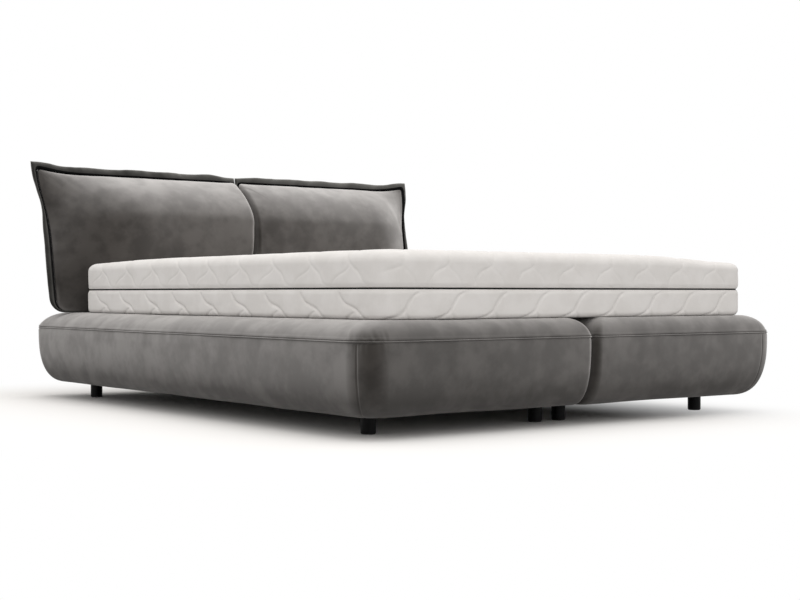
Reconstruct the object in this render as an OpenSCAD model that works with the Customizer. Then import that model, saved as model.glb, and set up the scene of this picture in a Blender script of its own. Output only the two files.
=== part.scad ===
// Upholstered double bed: two padded base halves that stand side by side on short round legs,
// two head cushions that lean back on steel brackets, and a mattress in a zipped quilted cover.
// X runs to the right as seen from the foot, Y towards the head and Z up.
// The origin is on the floor, under the middle of the base.

/* [Mattress] */
// Width of the mattress
mattress_w = 1600; // [1500:10:1800]
// Length of the mattress
mattress_l = 2000; // [1900:10:2100]
// Height of the mattress at its edges
mattress_h = 201; // [180:1:240]
// Extra height at the middle of the mattress
mattress_crown = 4; // [1:1:10]
// Radius of the mattress's upright corners
mattress_corner_r = 80; // [60:1:120]
// Radius of the mattress's top edge
mattress_top_r = 34; // [20:1:40]
// Radius of the mattress's bottom edge
mattress_bottom_r = 16; // [10:1:24]
// Height of the zip above the underside of the mattress
zip_h = 91; // [70:1:110]
// Width of the zip tape between the two covers
zip_w = 5; // [4:0.5:8]
// How far the covers draw in at the zip
zip_draw = 3; // [1:0.5:5]
// Height over which a cover draws in to the zip
zip_lip = 9; // [6:1:14]
// How far the zip tape lies behind the covers' rims
zip_recess = 2; // [1:0.5:3]
// Thickness of the quilted covers
quilt_t = 12; // [8:1:16]

/* [Base] */
// Base beyond each long side of the mattress
side_margin = 100; // [80:1:130]
// Base beyond the foot of the mattress
foot_margin = 55; // [45:1:90]
// Base beyond the head of the mattress
head_margin = 265; // [240:1:320]
// Gap between the two halves at their widest line
half_gap = 8; // [8:1:14]
// Height of the base's underside above the floor
underside_z = 61; // [50:1:90]
// Height of the padded base from its underside to its top
base_h = 279; // [270:1:300]
// Depth of the welted seam below the top
seam_drop = 60; // [50:1:64]
// Depth of the widest line below the top
widest_drop = 70; // [68:1:90]
// Corner radius of a half at its outer corners
outer_corner_r = 90; // [75:1:110]
// Corner radius of a half at its inner corners
inner_corner_r = 28; // [24:1:34]
// How far the underside draws in at the side, foot and head
lower_roll = 95; // [80:1:100]
// How far the underside draws in towards the other half
lower_roll_inner = 8; // [4:1:9]
// How far the top draws in at the side and the head
top_roll = 105; // [80:1:110]
// How far the top draws in at the foot
top_roll_foot = 62; // [50:1:80]
// How far the top draws in towards the other half
top_roll_inner = 80; // [50:1:90]
// Fullness of the lower roll, where 2 is an ellipse
lower_fullness = 2.6; // [2:0.1:3]
// Fullness of the top roll
top_fullness = 2; // [1.8:0.1:2.4]
// Thickness of the velvet panels with their wadding
panel_t = 12; // [8:1:14]
// Diameter of the welt in the seam
welt_d = 5; // [4:0.5:6]

/* [Frame] */
// Thickness of the frame boards
board_t = 18; // [15:1:20]
// Depth of padding outside the frame at the side, foot and head
bolster_w = 118; // [116:1:130]
// Depth of padding on the side of the other half
inner_bolster_w = 24; // [24:1:27]
// Corner radius of the frame
frame_r = 14; // [12:1:16]
// Thickness of the deck board
deck_t = 12; // [9:1:18]
// Diameter of the air holes in the deck board
air_hole_d = 30; // [20:1:40]
// Distance between air holes
air_hole_pitch = 250; // [200:10:350]
// Thickness of the dust cover under the frame
dust_t = 2; // [1:0.5:3]
// Side of the glue blocks in the frame's corners
block_w = 50; // [30:1:60]
// Width of the flat rails over the legs
leg_rail_w = 80; // [76:1:84]
// Thickness of the flat rails over the legs
leg_rail_t = 45; // [42:1:60]
// Number of upright cross boards under the deck
cross_boards = 3; // [1:1:5]

/* [Legs] */
// Diameter of a leg
leg_d = 46; // [36:1:56]
// Distance of the outer legs from the outer side of the base
leg_side_inset = 180; // [160:1:220]
// Distance of the inner legs from the middle of the bed
leg_inner_x = 52; // [50:1:54]
// Distance of the legs from the foot and head ends of the base
leg_end_inset = 226; // [224:1:228]
// Height of the floor glide under a leg
glide_h = 3; // [2:0.5:6]
// How much narrower a glide is than its leg
glide_step = 4; // [2:1:10]
// Thickness of the leg plates
plate_t = 4; // [3:0.5:6]
// Side of a leg plate
plate_w = 70; // [66:1:74]
// Diameter of the threaded stud on a leg
stud_d = 10; // [8:1:12]
// Length of the stud above its plate
stud_l = 38; // [25:1:40]
// Diameter of the plate screws
screw_d = 4.5; // [4:0.5:5]
// Length of the plate screws
screw_l = 30; // [20:1:36]
// Distance between the screws of a plate across the bed
screw_pitch_x = 36; // [34:1:38]
// Distance between the screws of a plate along the bed
screw_pitch_y = 54; // [50:1:56]

/* [Head cushions] */
// Lean of the cushions from upright, in degrees
lean = 11.5; // [9:0.5:13]
// Room between the mattress's head and the flange at the base's top
cushion_foot_d = 60; // [56:1:70]
// Width of a cushion's face from seam to seam
cushion_w = 866; // [840:1:880]
// Height of a cushion's face from seam to seam
cushion_h = 563; // [520:1:600]
// Height of the lower seam above the base, along the lean
cushion_lift = 5; // [4:1:10]
// Depth of a face in front of its flange
cushion_d = 158; // [140:1:165]
// Extra depth at the middle of a face
cushion_crown = 14; // [6:1:20]
// Depth of a cushion's back behind its flange
back_d = 45; // [40:1:60]
// How far the back draws in all round
back_roll = 30; // [20:1:40]
// How far a face draws in at its outer side
face_roll_outer = 90; // [60:1:110]
// How far a face draws in at its inner side
face_roll_inner = 36; // [30:1:50]
// How far a face draws in at its foot
face_roll_foot = 60; // [45:1:80]
// How far a face draws in at its top
face_roll_top = 175; // [140:1:200]
// Fullness of a face's roll
face_fullness = 1.85; // [1.7:0.05:2.2]
// Corner radius of the face seam
face_corner_r = 26; // [20:1:40]
// Gap between the flanges of the two cushions
cushion_gap = 4; // [3:0.5:8]
// Thickness of the sewn flange
flange_t = 8; // [5:1:10]
// Width of the flange at the top
flange_top_w = 38; // [25:1:50]
// Width of the flange at the outer side
flange_side_w = 31; // [20:1:40]
// Width of the flange at the inner side
flange_inner_w = 9; // [6:1:9]
// Radius of the flange's lower outer corner
flange_foot_r = 48; // [40:1:60]
// How far the flange's ear stands up at its corner
ear_rise = 15; // [5:1:25]
// How far the flange's ear stands out at its corner
ear_flare = 30; // [10:1:35]
// Reach of the ear along the top of the flange
ear_reach_top = 90; // [60:5:120]
// Reach of the ear down the side of the flange
ear_reach_side = 125; // [80:5:150]
// Height of the flange's ripples
ripple = 2; // [0:0.5:3]
// Length of a ripple along the flange
ripple_pitch = 165; // [100:5:240]
// Gap between the mattress's head and the cushions
mattress_gap = 1; // [0.5:0.5:4]
// Slope at which the mattress lifts off towards the foot, in degrees
lift_slope = 20; // [15:1:40]
// Width of a cushion back's rim, outside its plywood
back_rim = 18; // [14:1:22]
// Width of a bracket bar
bar_w = 50; // [40:1:60]
// Thickness of a bracket bar
bar_t = 6; // [5:1:8]
// Clearance between a glue block and the bracket bar beside it
block_gap = 5; // [3:1:10]
// Distance between the two brackets of a cushion
bar_pitch = 480; // [400:10:560]
// Height of a bracket along the lean
bar_reach = 420; // [380:10:460]
// Length of a bracket below the base's top
bar_drop = 210; // [190:5:220]
// Thickness of the plywood behind the foam
ply_t = 15; // [12:1:18]
// Diameter of the bracket bolts
bolt_d = 8; // [6:1:10]
// Distance between the two bolts at each end of a bracket
bolt_pitch = 70; // [60:1:90]

/* [Hidden] */
SIDES = ["left", "right"];
HALF_NODES = ["outer_rail", "inner_rail", "foot_rail", "head_rail", "cross_rails", "glue_blocks",
    "deck_board", "foam_pad", "foam_bolster", "top_panel", "side_panel", "welt", "dust_cover", "legs",
    "leg_plates", "leg_screws", "glides", "headboard_ply", "headboard_foam", "headboard_front",
    "headboard_back", "headboard_flange", "brackets", "bracket_bolts"];

$fn = 48;
corner_steps = 6;      // segments in each quarter turn of a padded corner
roll_steps = 6;        // rings in each roll of the padding
face_steps = 7;        // rings in the roll of a cushion's face
back_steps = 3;        // rings in the roll of a cushion's back
flange_steps = 44;     // points along each outer edge of a flange
seat = 0.3;            // clearance between a padded form and what it covers
play = 0.2;            // radial clearance of a bolt or stud in its hole
slot_play = 0.8;       // clearance of a bracket bar in its slots
touch = 0.05;          // room between leaning flat faces that meet
grip = 0.05;           // radial clearance of a wood screw in its hole
corner_follow = 0.3;   // share of a roll by which the corner radius shrinks
stud_end = 1;          // room in a hole past the end of its stud or bolt
small_r = 5;           // least corner radius of a padded ring
crown_inset = 120;     // distance from a padded edge at which most of its crown is reached
crown_share = 0.75;    // share of the crown reached there
through = 1;           // how far a cutting tool runs past what it cuts

half_w = mattress_w / 2 + side_margin;
base_l = mattress_l + foot_margin + head_margin;
base_top_z = underside_z + base_h;
seam_z = base_top_z - seam_drop;
widest_z = base_top_z - widest_drop;
mattress_foot_y = foot_margin - base_l / 2;
mattress_head_y = mattress_foot_y + mattress_l;
groove = welt_d / 2;

// Rolls of a half, in the order side, foot, head and inner side
lower_rolls = [lower_roll, lower_roll, lower_roll, lower_roll_inner];
top_rolls = [top_roll, top_roll_foot, top_roll, top_roll_inner];

frame_x0 = bolster_w - half_w;
frame_x1 = -half_gap / 2 - inner_bolster_w;
frame_y = base_l / 2 - bolster_w;
frame_z = underside_z + dust_t;
deck_z = seam_z - deck_t;
rail_h = deck_z - frame_z;

leg_x = [leg_side_inset - half_w, -leg_inner_x];
leg_y = base_l / 2 - leg_end_inset;
plate_z = underside_z - plate_t;
screw_head_d = 2 * screw_d;

flange_y = mattress_head_y + cushion_foot_d;
face_x1 = -cushion_gap / 2 - flange_inner_w;
face_x0 = face_x1 - cushion_w;
face_top_v = cushion_lift + cushion_h;
face_rolls = [face_roll_outer, face_roll_foot, face_roll_inner, face_roll_top];
bolt_head_d = 1.6 * bolt_d;
bolt_head_h = 0.6 * bolt_d;
back_cavity = ply_t + bar_t + bolt_head_h + 2 * seat;
bar_x0 = frame_x0 + board_t + block_w + block_gap + bar_w / 2;
bar_x = [bar_x0, bar_x0 + bar_pitch];
bar_face = ply_t + touch;
bar_y = flange_y + bar_face * cos(lean);
bar_z = base_top_z - bar_drop;
bracket_rail_y = bar_y + bar_t;

zip_z = base_top_z + zip_h;
mattress_top_z = base_top_z + mattress_h;

// Colours
velvet = [0.43, 0.415, 0.40];
ticking = [0.85, 0.83, 0.81];
timber = [0.80, 0.66, 0.47];
foam = [0.93, 0.90, 0.78];
black = [0.06, 0.06, 0.06];
steel = [0.62, 0.63, 0.65];

// Points of a quarter turn of radius r about [x, y], starting at the angle a
function corner(x, y, r, a) = [for (k = [0:corner_steps])
    let (t = a + 90 * k / corner_steps) [x + r * cos(t), y + r * sin(t)]];

// Rounded rectangle, counter-clockwise, with its corner radii in the order
// x0 y0, x1 y0, x1 y1 and x0 y1
function outline(x0, x1, y0, y1, r) = concat(
    corner(x1 - r[2], y1 - r[2], r[2], 0),
    corner(x0 + r[3], y1 - r[3], r[3], 90),
    corner(x0 + r[0], y0 + r[0], r[0], 180),
    corner(x1 - r[1], y0 + r[1], r[1], 270));

function at_height(points, z) = [for (p = points) [p.x, p.y, z]];

// A sine or cosine taken to the power that gives a roll its fullness
function rolled(x, fullness) = pow(x, 2 / fullness);

// Radius of a corner after it is drawn in, but never too small to be round
function followed(r, drawn) = max(small_r, r - drawn);

function reversed(list) = [for (k = [len(list) - 1:-1:0]) list[k]];
function steps(n, low, high) = [for (k = [0:n]) low + (high - low) * k / n];

// Ring of a base half at height z: its rolls drawn in by a share, and all sides by t more
function half_ring(rolls, share, t, z) = let (
        outer_r = followed(outer_corner_r, corner_follow * share * rolls[0] + t),
        inner_r = followed(inner_corner_r, corner_follow * share * rolls[3] + t))
    at_height(outline(
        -half_w + rolls[0] * share + t, -half_gap / 2 - rolls[3] * share - t,
        -base_l / 2 + rolls[1] * share + t, base_l / 2 - rolls[2] * share - t,
        [outer_r, inner_r, inner_r, outer_r]), z);

// Ring of the lower roll, t inside the surface, where a is 0 at the underside and 90 at the widest line
function lower_ring(a, t) = half_ring(lower_rolls, 1 - rolled(sin(a), lower_fullness), t,
    widest_z - (widest_z - underside_z - t) * rolled(cos(a), lower_fullness));

// Ring of the top roll, t inside the surface, where a is 0 at the widest line and 90 at the top
function top_ring(a, t) = half_ring(top_rolls, 1 - rolled(cos(a), top_fullness), t,
    widest_z + (widest_drop - t) * rolled(sin(a), top_fullness));

// Ring of a base half that keeps the seam's outline, t inside the surface
seam_a = asin(pow((widest_drop - seam_drop) / widest_drop, top_fullness / 2));
seam_share = 1 - rolled(cos(seam_a), top_fullness);
function seam_ring(t, z) = half_ring(top_rolls, seam_share, t, z);

// Ring round the frame's outside
function frame_ring(t, z) = at_height(outline(frame_x0 - t, frame_x1 + t, -frame_y - t, frame_y + t,
    [for (k = [0:3]) frame_r + t]), z);

// Closed solid through rings of equally many points. The rings run up the outside of the solid
// or, where it is looped, up the outside and down the inside, back to the first.
module loft(rings, looped = false, peak = undef) {
    n = len(rings[0]);
    m = len(rings);
    last = (m - 1) * n;
    sides = [for (i = [0:m - (looped ? 1 : 2)]) for (j = [0:n - 1])
        let (a = i * n + j, b = i * n + (j + 1) % n, up = ((i + 1) % m - i) * n)
        each [[a, a + up, b + up], [a, b + up, b]]];
    bottom = [for (j = [1:n - 2]) [0, j, j + 1]];
    lid = is_undef(peak)
        ? [for (j = [1:n - 2]) [last, last + j + 1, last + j]]
        : [for (j = [0:n - 1]) [last + j, m * n, last + (j + 1) % n]];
    polyhedron(
        points = concat([for (ring = rings) each ring], is_undef(peak) ? [] : [peak]),
        faces = looped ? sides : concat(sides, bottom, lid),
        convexity = 6);
}

// The frame's outline between two values of x and two of y, as a board of height h
module frame_board(x0, x1, y0, y1, z, h) {
    translate([0, 0, z]) linear_extrude(h) intersection() {
        frame_outline();
        translate([x0, y0]) square([x1 - x0, y1 - y0]);
    }
}

module frame_outline() {
    w = frame_x1 - frame_x0;
    for (x = [frame_x0 + frame_r, frame_x1 - frame_r]) for (y = [frame_r - frame_y, frame_y - frame_r])
        translate([x, y]) circle(frame_r);
    translate([frame_x0 + frame_r, -frame_y]) square([w - 2 * frame_r, 2 * frame_y]);
    translate([frame_x0, frame_r - frame_y]) square([w, 2 * (frame_y - frame_r)]);
}

module outer_rail() {
    color(timber) frame_board(frame_x0, frame_x0 + board_t, -frame_y, frame_y, frame_z, rail_h);
}

module inner_rail() {
    color(timber) difference() {
        frame_board(frame_x1 - board_t, frame_x1, -frame_y, frame_y, frame_z, rail_h);
        stud_holes();
        screw_holes();
    }
}

module foot_rail() {
    color(timber) frame_board(frame_x0 + board_t, frame_x1 - board_t,
        -frame_y, board_t - frame_y, frame_z, rail_h);
}

module head_rail() {
    color(timber) frame_board(frame_x0 + board_t, frame_x1 - board_t,
        frame_y - board_t, frame_y, frame_z, rail_h);
}

// Flat rails over the legs, upright boards under the deck, and the board that holds the brackets
module cross_rails() {
    x0 = frame_x0 + board_t;
    w = frame_x1 - board_t - x0;
    color(timber) difference() {
        union() {
            for (y = [-leg_y, leg_y]) translate([x0, y - leg_rail_w / 2, frame_z])
                cube([w, leg_rail_w, leg_rail_t]);
            for (k = [1:cross_boards])
                translate([x0, (2 * k / (cross_boards + 1) - 1) * leg_y - board_t / 2, frame_z])
                    cube([w, board_t, rail_h]);
            translate([x0, bracket_rail_y, frame_z]) cube([w, board_t, rail_h]);
        }
        stud_holes();
        screw_holes();
        rail_bolt_holes();
    }
}

// Three-cornered blocks glued into the corners, over the leg rails
module glue_blocks() {
    z = frame_z + leg_rail_t;
    color(timber) for (x = [[frame_x0 + board_t, 1], [frame_x1 - board_t, -1]])
        for (y = [[board_t - frame_y, 1], [bracket_rail_y, -1]])
            translate([x[0], y[0], z]) linear_extrude(deck_z - z)
                polygon([[0, 0], [x[1] * block_w, 0], [0, y[1] * block_w]]);
}

module deck_board() {
    rows = floor(frame_y / air_hole_pitch);
    middle = (frame_x0 + frame_x1) / 2;
    color(timber) difference() {
        frame_board(frame_x0, frame_x1, -frame_y, frame_y, deck_z, deck_t);
        for (k = [-rows:rows - 1]) for (s = [-1, 1])
            translate([middle + s * air_hole_pitch / 2, (k + 1 / 2) * air_hole_pitch, deck_z - through])
                cylinder(d = air_hole_d, h = deck_t + 2 * through);
        bars(slot_play);
    }
}

module foam_pad() {
    t = panel_t + seat;
    color(foam) difference() {
        loft(concat([seam_ring(t, seam_z)],
            [for (a = steps(roll_steps - 2, seam_a + 14, 90)) top_ring(a, t)]));
        bars(slot_play);
    }
}

module foam_bolster() {
    t = panel_t + seat;
    color(foam) loft(concat(
        [for (a = steps(roll_steps - 1, 0, 90)) lower_ring(a, t)],
        [seam_ring(t, seam_z), frame_ring(seat, seam_z), frame_ring(seat, underside_z + t)]), looped = true);
}

// Velvet over the top, down to the seam, with a groove that seats the welt
module top_panel() {
    color(velvet) difference() {
        loft(concat(
            reversed([for (a = steps(roll_steps - 2, seam_a + 14, 90)) top_ring(a, panel_t)]),
            [seam_ring(panel_t, seam_z), seam_ring(groove, seam_z), seam_ring(0, seam_z + groove)],
            [for (a = steps(roll_steps, seam_a + 10, 90)) top_ring(a, 0)]));
        bars(slot_play);
    }
}

// Velvet round the sides, turned in under the frame
module side_panel() {
    color(velvet) loft(concat(
        [for (a = steps(roll_steps + 1, 0, 90)) lower_ring(a, 0)],
        [seam_ring(0, seam_z - groove), seam_ring(groove, seam_z), seam_ring(panel_t, seam_z)],
        [for (a = steps(roll_steps - 1, 90, 0)) lower_ring(a, panel_t)],
        [frame_ring(seat, underside_z + panel_t), frame_ring(seat, underside_z)]), looped = true);
}

module welt() {
    r = welt_d / 2;
    out = r - (r + seat) * sqrt(2);
    color(velvet) loft([for (a = [0:60:300]) seam_ring(out - r * cos(a), seam_z + r * sin(a))],
        looped = true);
}

module dust_cover() {
    color(black) difference() {
        frame_board(frame_x0, frame_x1, -frame_y, frame_y, underside_z, dust_t);
        stud_holes();
        screw_holes();
    }
}

// Holes for the studs of the legs
module stud_holes() {
    for (x = leg_x) for (y = [-leg_y, leg_y]) translate([x, y, plate_z - through])
        cylinder(d = stud_d + 2 * play, h = plate_t + stud_l + through);
}

// Places of the plate screws
module at_screws() {
    for (x = leg_x) for (y = [-leg_y, leg_y]) for (dx = [-1, 1]) for (dy = [-1, 1])
        translate([x + dx * screw_pitch_x / 2, y + dy * screw_pitch_y / 2, plate_z]) children();
}

module screw_holes() {
    at_screws() translate([0, 0, -through]) cylinder(d = screw_d + 2 * grip, h = screw_l + 2 * through);
}

// Screws with countersunk heads, larger all round by grow
module screws(grow) {
    head_r = screw_head_d / 2;
    shank_r = screw_d / 2;
    at_screws() rotate_extrude() polygon([[0, 0], [head_r + grow, 0], [shank_r + grow, head_r - shank_r],
        [shank_r + grow, screw_l], [0, screw_l]]);
}

// What the screws and studs take out of a plate
module plate_holes() {
    stud_holes();
    screws(grip);
    at_screws() translate([0, 0, -through]) cylinder(d = screw_head_d + 2 * grip, h = through);
}

module legs() {
    color(black) for (x = leg_x) for (y = [-leg_y, leg_y]) translate([x, y, 0]) {
        translate([0, 0, glide_h]) cylinder(d = leg_d, h = plate_z - glide_h);
        translate([0, 0, plate_z]) cylinder(d = stud_d, h = plate_t + stud_l - stud_end);
    }
}

module glides() {
    color(black) for (x = leg_x) for (y = [-leg_y, leg_y]) translate([x, y, 0])
        cylinder(d = leg_d - glide_step, h = glide_h);
}

module leg_plates() {
    color(black) difference() {
        for (y = [-leg_y, leg_y])
            translate([leg_x[0] - plate_w / 2, y - plate_w / 2, plate_z]) cube([plate_w, plate_w, plate_t]);
        plate_holes();
    }
}

module leg_screws() {
    color(steel) screws(0);
}

// Wide plates that join the two halves over their inner legs
module link_plates() {
    w = 2 * leg_inner_x + plate_w;
    color(black) difference() {
        for (y = [-leg_y, leg_y]) translate([-w / 2, y - plate_w / 2, plate_z]) cube([w, plate_w, plate_t]);
        for (side = SIDES) on_side(side) plate_holes();
    }
}

// A cushion's own space, with X across it, Y through it from face to back and Z up along its lean
module leaning() {
    translate([0, flange_y, base_top_z]) rotate([-lean, 0, 0]) children();
}

// Point v up along the lean and y behind the flange's middle plane, as [Y, Z]
function leant(y, v) = [flange_y + y * cos(lean) + v * sin(lean), base_top_z - y * sin(lean) + v * cos(lean)];

// Ring of a cushion in its own space, at w in front of the flange's middle plane
function cushion_ring(rolls, share, t, w) = let (
        r = followed(face_corner_r, corner_follow * share * rolls[2] + t))
    [for (p = outline(face_x0 + rolls[0] * share + t, face_x1 - rolls[2] * share - t,
        cushion_lift + rolls[1] * share + t, face_top_v - rolls[3] * share - t, [r, r, r, r]))
        [p.x, -w, p.y]];

// Ring of the face, t inside its surface, where a is 0 at the seam and 90 at the front
function face_ring(a, t) = cushion_ring(face_rolls, 1 - rolled(cos(a), face_fullness), t,
    (cushion_d - t) * rolled(sin(a), face_fullness));

// A cushion's full face, t inside its surface, from below the seam's plane to its crown
module face_form(t, below) {
    crown_ring = cushion_ring([for (roll = face_rolls) roll + crown_inset], 1, t,
        cushion_d + crown_share * cushion_crown - t);
    middle = [face_x0 + face_roll_outer + face_x1 - face_roll_inner,
        cushion_lift + face_roll_foot + face_top_v - face_roll_top] / 2;
    leaning() loft(concat(below > 0 ? [cushion_ring(face_rolls, 0, t, -below)] : [],
        [for (a = steps(face_steps, 0, 90)) face_ring(a, t)], [crown_ring]),
        peak = [middle.x, t - cushion_d - cushion_crown, middle.y]);
}

// The room that the mattress takes on its way off the bed, and d more
module mattress_room(d) {
    r = mattress_top_r + d;
    edge = [mattress_head_y - mattress_top_r, mattress_top_z - mattress_top_r];
    lip = [edge.x + r, edge.y + r * (1 - sin(lift_slope)) / cos(lift_slope)];
    reach = mattress_l;
    translate([-mattress_w, 0, 0]) rotate([90, 0, 90]) linear_extrude(2 * mattress_w)
        polygon([[lip.x, 0], lip, lip + reach * [-cos(lift_slope), sin(lift_slope)], [lip.x - reach, 0]]);
}

module headboard_ply() {
    color(timber) difference() {
        leaning() translate([0, ply_t, 0]) rotate([90, 0, 0]) linear_extrude(ply_t)
            polygon([for (p = cushion_ring(face_rolls, 0, back_rim + seat, 0)) [p.x, p.z]]);
        leaning() ply_bolt_holes();
    }
}

module headboard_foam() {
    color(foam) difference() {
        face_form(panel_t + seat, 0);
        mattress_room(mattress_gap + panel_t + seat);
    }
}

module headboard_front() {
    color(velvet) difference() {
        face_form(0, 0);
        mattress_room(mattress_gap);
        difference() {
            face_form(panel_t, through);
            mattress_room(mattress_gap + panel_t);
        }
    }
}

function back_ring(a) = cushion_ring([for (k = [0:3]) back_roll], 1 - cos(a), 0, -back_d * sin(a));

module headboard_back() {
    color(velvet) difference() {
        leaning() loft(concat([for (a = steps(back_steps, 90, 0)) back_ring(a)],
            [for (w = [0, -back_cavity]) cushion_ring(face_rolls, 0, back_rim, w)]));
        bars(slot_play);
    }
}

// How far a bump of a given reach has risen, at a distance s from its tip
function bump(s, reach) = exp(-pow(s / reach, 3));
function rippled(s) = ripple * sin(360 * s / ripple_pitch);

// Flange with rippled edges and an ear at its outer top corner, open inside for the cushion
module headboard_flange() {
    foot_v = (seat + flange_t / 2 * sin(lean)) / cos(lean);
    top_v = face_top_v + flange_top_w;
    side_u = face_x0 - flange_side_w;
    inner_u = face_x1 + flange_inner_w;
    tip = [side_u - ear_flare, top_v + ear_rise];
    top_edge = [for (u = steps(flange_steps, inner_u, tip.x))
        [u, top_v + ear_rise * (bump(u - tip.x, ear_reach_top) - bump(inner_u - u, ear_reach_top) / 2)
            + rippled(inner_u - u) * (1 - bump(u - tip.x, ear_reach_top))]];
    side_edge = [for (v = steps(flange_steps / 2, tip.y, foot_v + flange_foot_r))
        [side_u - ear_flare * bump(tip.y - v, ear_reach_side)
            - rippled(tip.y - v) / 2 * (1 - bump(tip.y - v, ear_reach_side)), v]];
    foot_corner = [for (a = steps(corner_steps, 0, 90)) [side_edge[flange_steps / 2].x
        + flange_foot_r * (1 - cos(a)), foot_v + flange_foot_r * (1 - sin(a))]];
    color(velvet) leaning() translate([0, flange_t / 2, 0]) rotate([90, 0, 0]) linear_extrude(flange_t)
        difference() {
            polygon(concat([[inner_u, foot_v]], top_edge,
                [for (k = [1:flange_steps / 2]) side_edge[k]], [for (k = [1:corner_steps]) foot_corner[k]]));
            polygon(outline(face_x0 - seat, face_x1 + seat, cushion_lift - seat, face_top_v + seat,
                [for (k = [0:3]) face_corner_r + seat]));
        }
}

// Bent bars, upright below the base's top and leaning above it, larger all round by grow
module bars(grow) {
    bend = (1 - cos(lean)) / sin(lean);
    back = bar_t + grow;
    for (x = bar_x) translate([x - bar_w / 2 - grow, 0, 0]) rotate([90, 0, 90])
        linear_extrude(bar_w + 2 * grow) polygon([[bar_y - grow, bar_z - grow], [bar_y + back, bar_z - grow],
            leant(bar_face + back, back * bend), leant(bar_face + back, bar_reach + grow),
            leant(bar_face - grow, bar_reach + grow), leant(bar_face - grow, -grow * bend)]);
}

// Places of the bolts through a bar and the bracket rail, with Z pointing to the head
module at_rail_bolts() {
    for (x = bar_x) for (z = [0, bolt_pitch]) translate([x, bar_y, bar_z + bar_w / 2 + z])
        rotate([-90, 0, 0]) children();
}

// Places of the bolts through a bar and the plywood, inside the leaning space
module at_ply_bolts() {
    for (x = bar_x) for (v = [0, bolt_pitch]) translate([x, bar_face + bar_t, bar_reach - bar_w / 2 - v])
        rotate([90, 0, 0]) children();
}

module rail_bolt_holes() {
    at_rail_bolts() translate([0, 0, -through])
        cylinder(d = bolt_d + 2 * play, h = bar_t + board_t + 2 * through);
}

module ply_bolt_holes() {
    at_ply_bolts() translate([0, 0, -through])
        cylinder(d = bolt_d + 2 * play, h = bar_t + ply_t + 2 * through);
}

module brackets() {
    color(black) difference() {
        bars(0);
        rail_bolt_holes();
        leaning() ply_bolt_holes();
    }
}

module bolt(length) {
    translate([0, 0, -bolt_head_h]) cylinder(d = bolt_head_d, h = bolt_head_h);
    cylinder(d = bolt_d, h = length);
}

module bracket_bolts() {
    color(steel) {
        at_rail_bolts() {
            bolt(bar_t + board_t);
            translate([0, 0, bar_t + board_t]) cylinder(d = bolt_head_d, h = bolt_head_h);
        }
        leaning() at_ply_bolts() bolt(bar_t + ply_t - stud_end);
    }
}

// Ring of the mattress at height z, t inside its widest outline
function mattress_ring(t, z) = at_height(mattress_outline(t), z);
function mattress_outline(t) = outline(t - mattress_w / 2, mattress_w / 2 - t,
    mattress_foot_y + t, mattress_head_y - t, [for (k = [0:3]) followed(mattress_corner_r, t)]);

module mattress_core() {
    h = mattress_h - 2 * quilt_t - seat;
    color(foam) translate([0, 0, base_top_z + quilt_t]) linear_extrude(h)
        polygon(mattress_outline(quilt_t + seat));
}

module mattress_lower_cover() {
    r = mattress_bottom_r;
    rim_z = zip_z - zip_w / 2;
    color(ticking) loft(concat(
        [for (a = steps(4, 0, 90)) mattress_ring(r * (1 - sin(a)), base_top_z + r * (1 - cos(a)))],
        [mattress_ring(0, rim_z - zip_lip), mattress_ring(zip_draw / 3, rim_z - zip_lip / 3),
            mattress_ring(zip_draw, rim_z), mattress_ring(quilt_t, rim_z),
            mattress_ring(quilt_t, base_top_z + quilt_t)]));
}

module mattress_upper_cover() {
    r = mattress_top_r;
    rim_z = zip_z + zip_w / 2;
    edge_z = mattress_top_z - r;
    color(ticking) loft(concat(
        [mattress_ring(quilt_t, mattress_top_z - quilt_t), mattress_ring(quilt_t, rim_z),
            mattress_ring(zip_draw, rim_z), mattress_ring(zip_draw / 3, rim_z + zip_lip / 3),
            mattress_ring(0, rim_z + zip_lip)],
        [for (a = steps(5, 0, 90)) mattress_ring(r * (1 - cos(a)), edge_z + r * sin(a))],
        [mattress_ring(r + crown_inset, mattress_top_z + crown_share * mattress_crown)]),
        peak = [0, (mattress_foot_y + mattress_head_y) / 2, mattress_top_z + mattress_crown]);
}

module mattress_zip() {
    color(black) translate([0, 0, zip_z - zip_w / 2]) linear_extrude(zip_w) difference() {
        polygon(mattress_outline(zip_draw + zip_recess));
        polygon(mattress_outline(quilt_t));
    }
}

// The right half is the mirror image of the left one
module on_side(side) {
    mirror([side == "right" ? 1 : 0, 0, 0]) children();
}

for (side = SIDES) on_side(side) {
    outer_rail();
    inner_rail();
    foot_rail();
    head_rail();
    cross_rails();
    glue_blocks();
    deck_board();
    foam_pad();
    foam_bolster();
    top_panel();
    side_panel();
    welt();
    dust_cover();
    legs();
    leg_plates();
    leg_screws();
    glides();
    headboard_ply();
    headboard_foam();
    headboard_front();
    headboard_back();
    headboard_flange();
    brackets();
    bracket_bolts();
}
link_plates();
mattress_core();
mattress_lower_cover();
mattress_upper_cover();
mattress_zip();
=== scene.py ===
"""Upholstered double bed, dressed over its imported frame.

The bed has two padded base halves in velvet, two flanged head cushions and a mattress in a
zipped quilted cover. Lengths are in metres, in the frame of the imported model: X to the right
as seen from the foot, Y towards the head and Z up, with the origin on the floor.
"""

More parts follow.
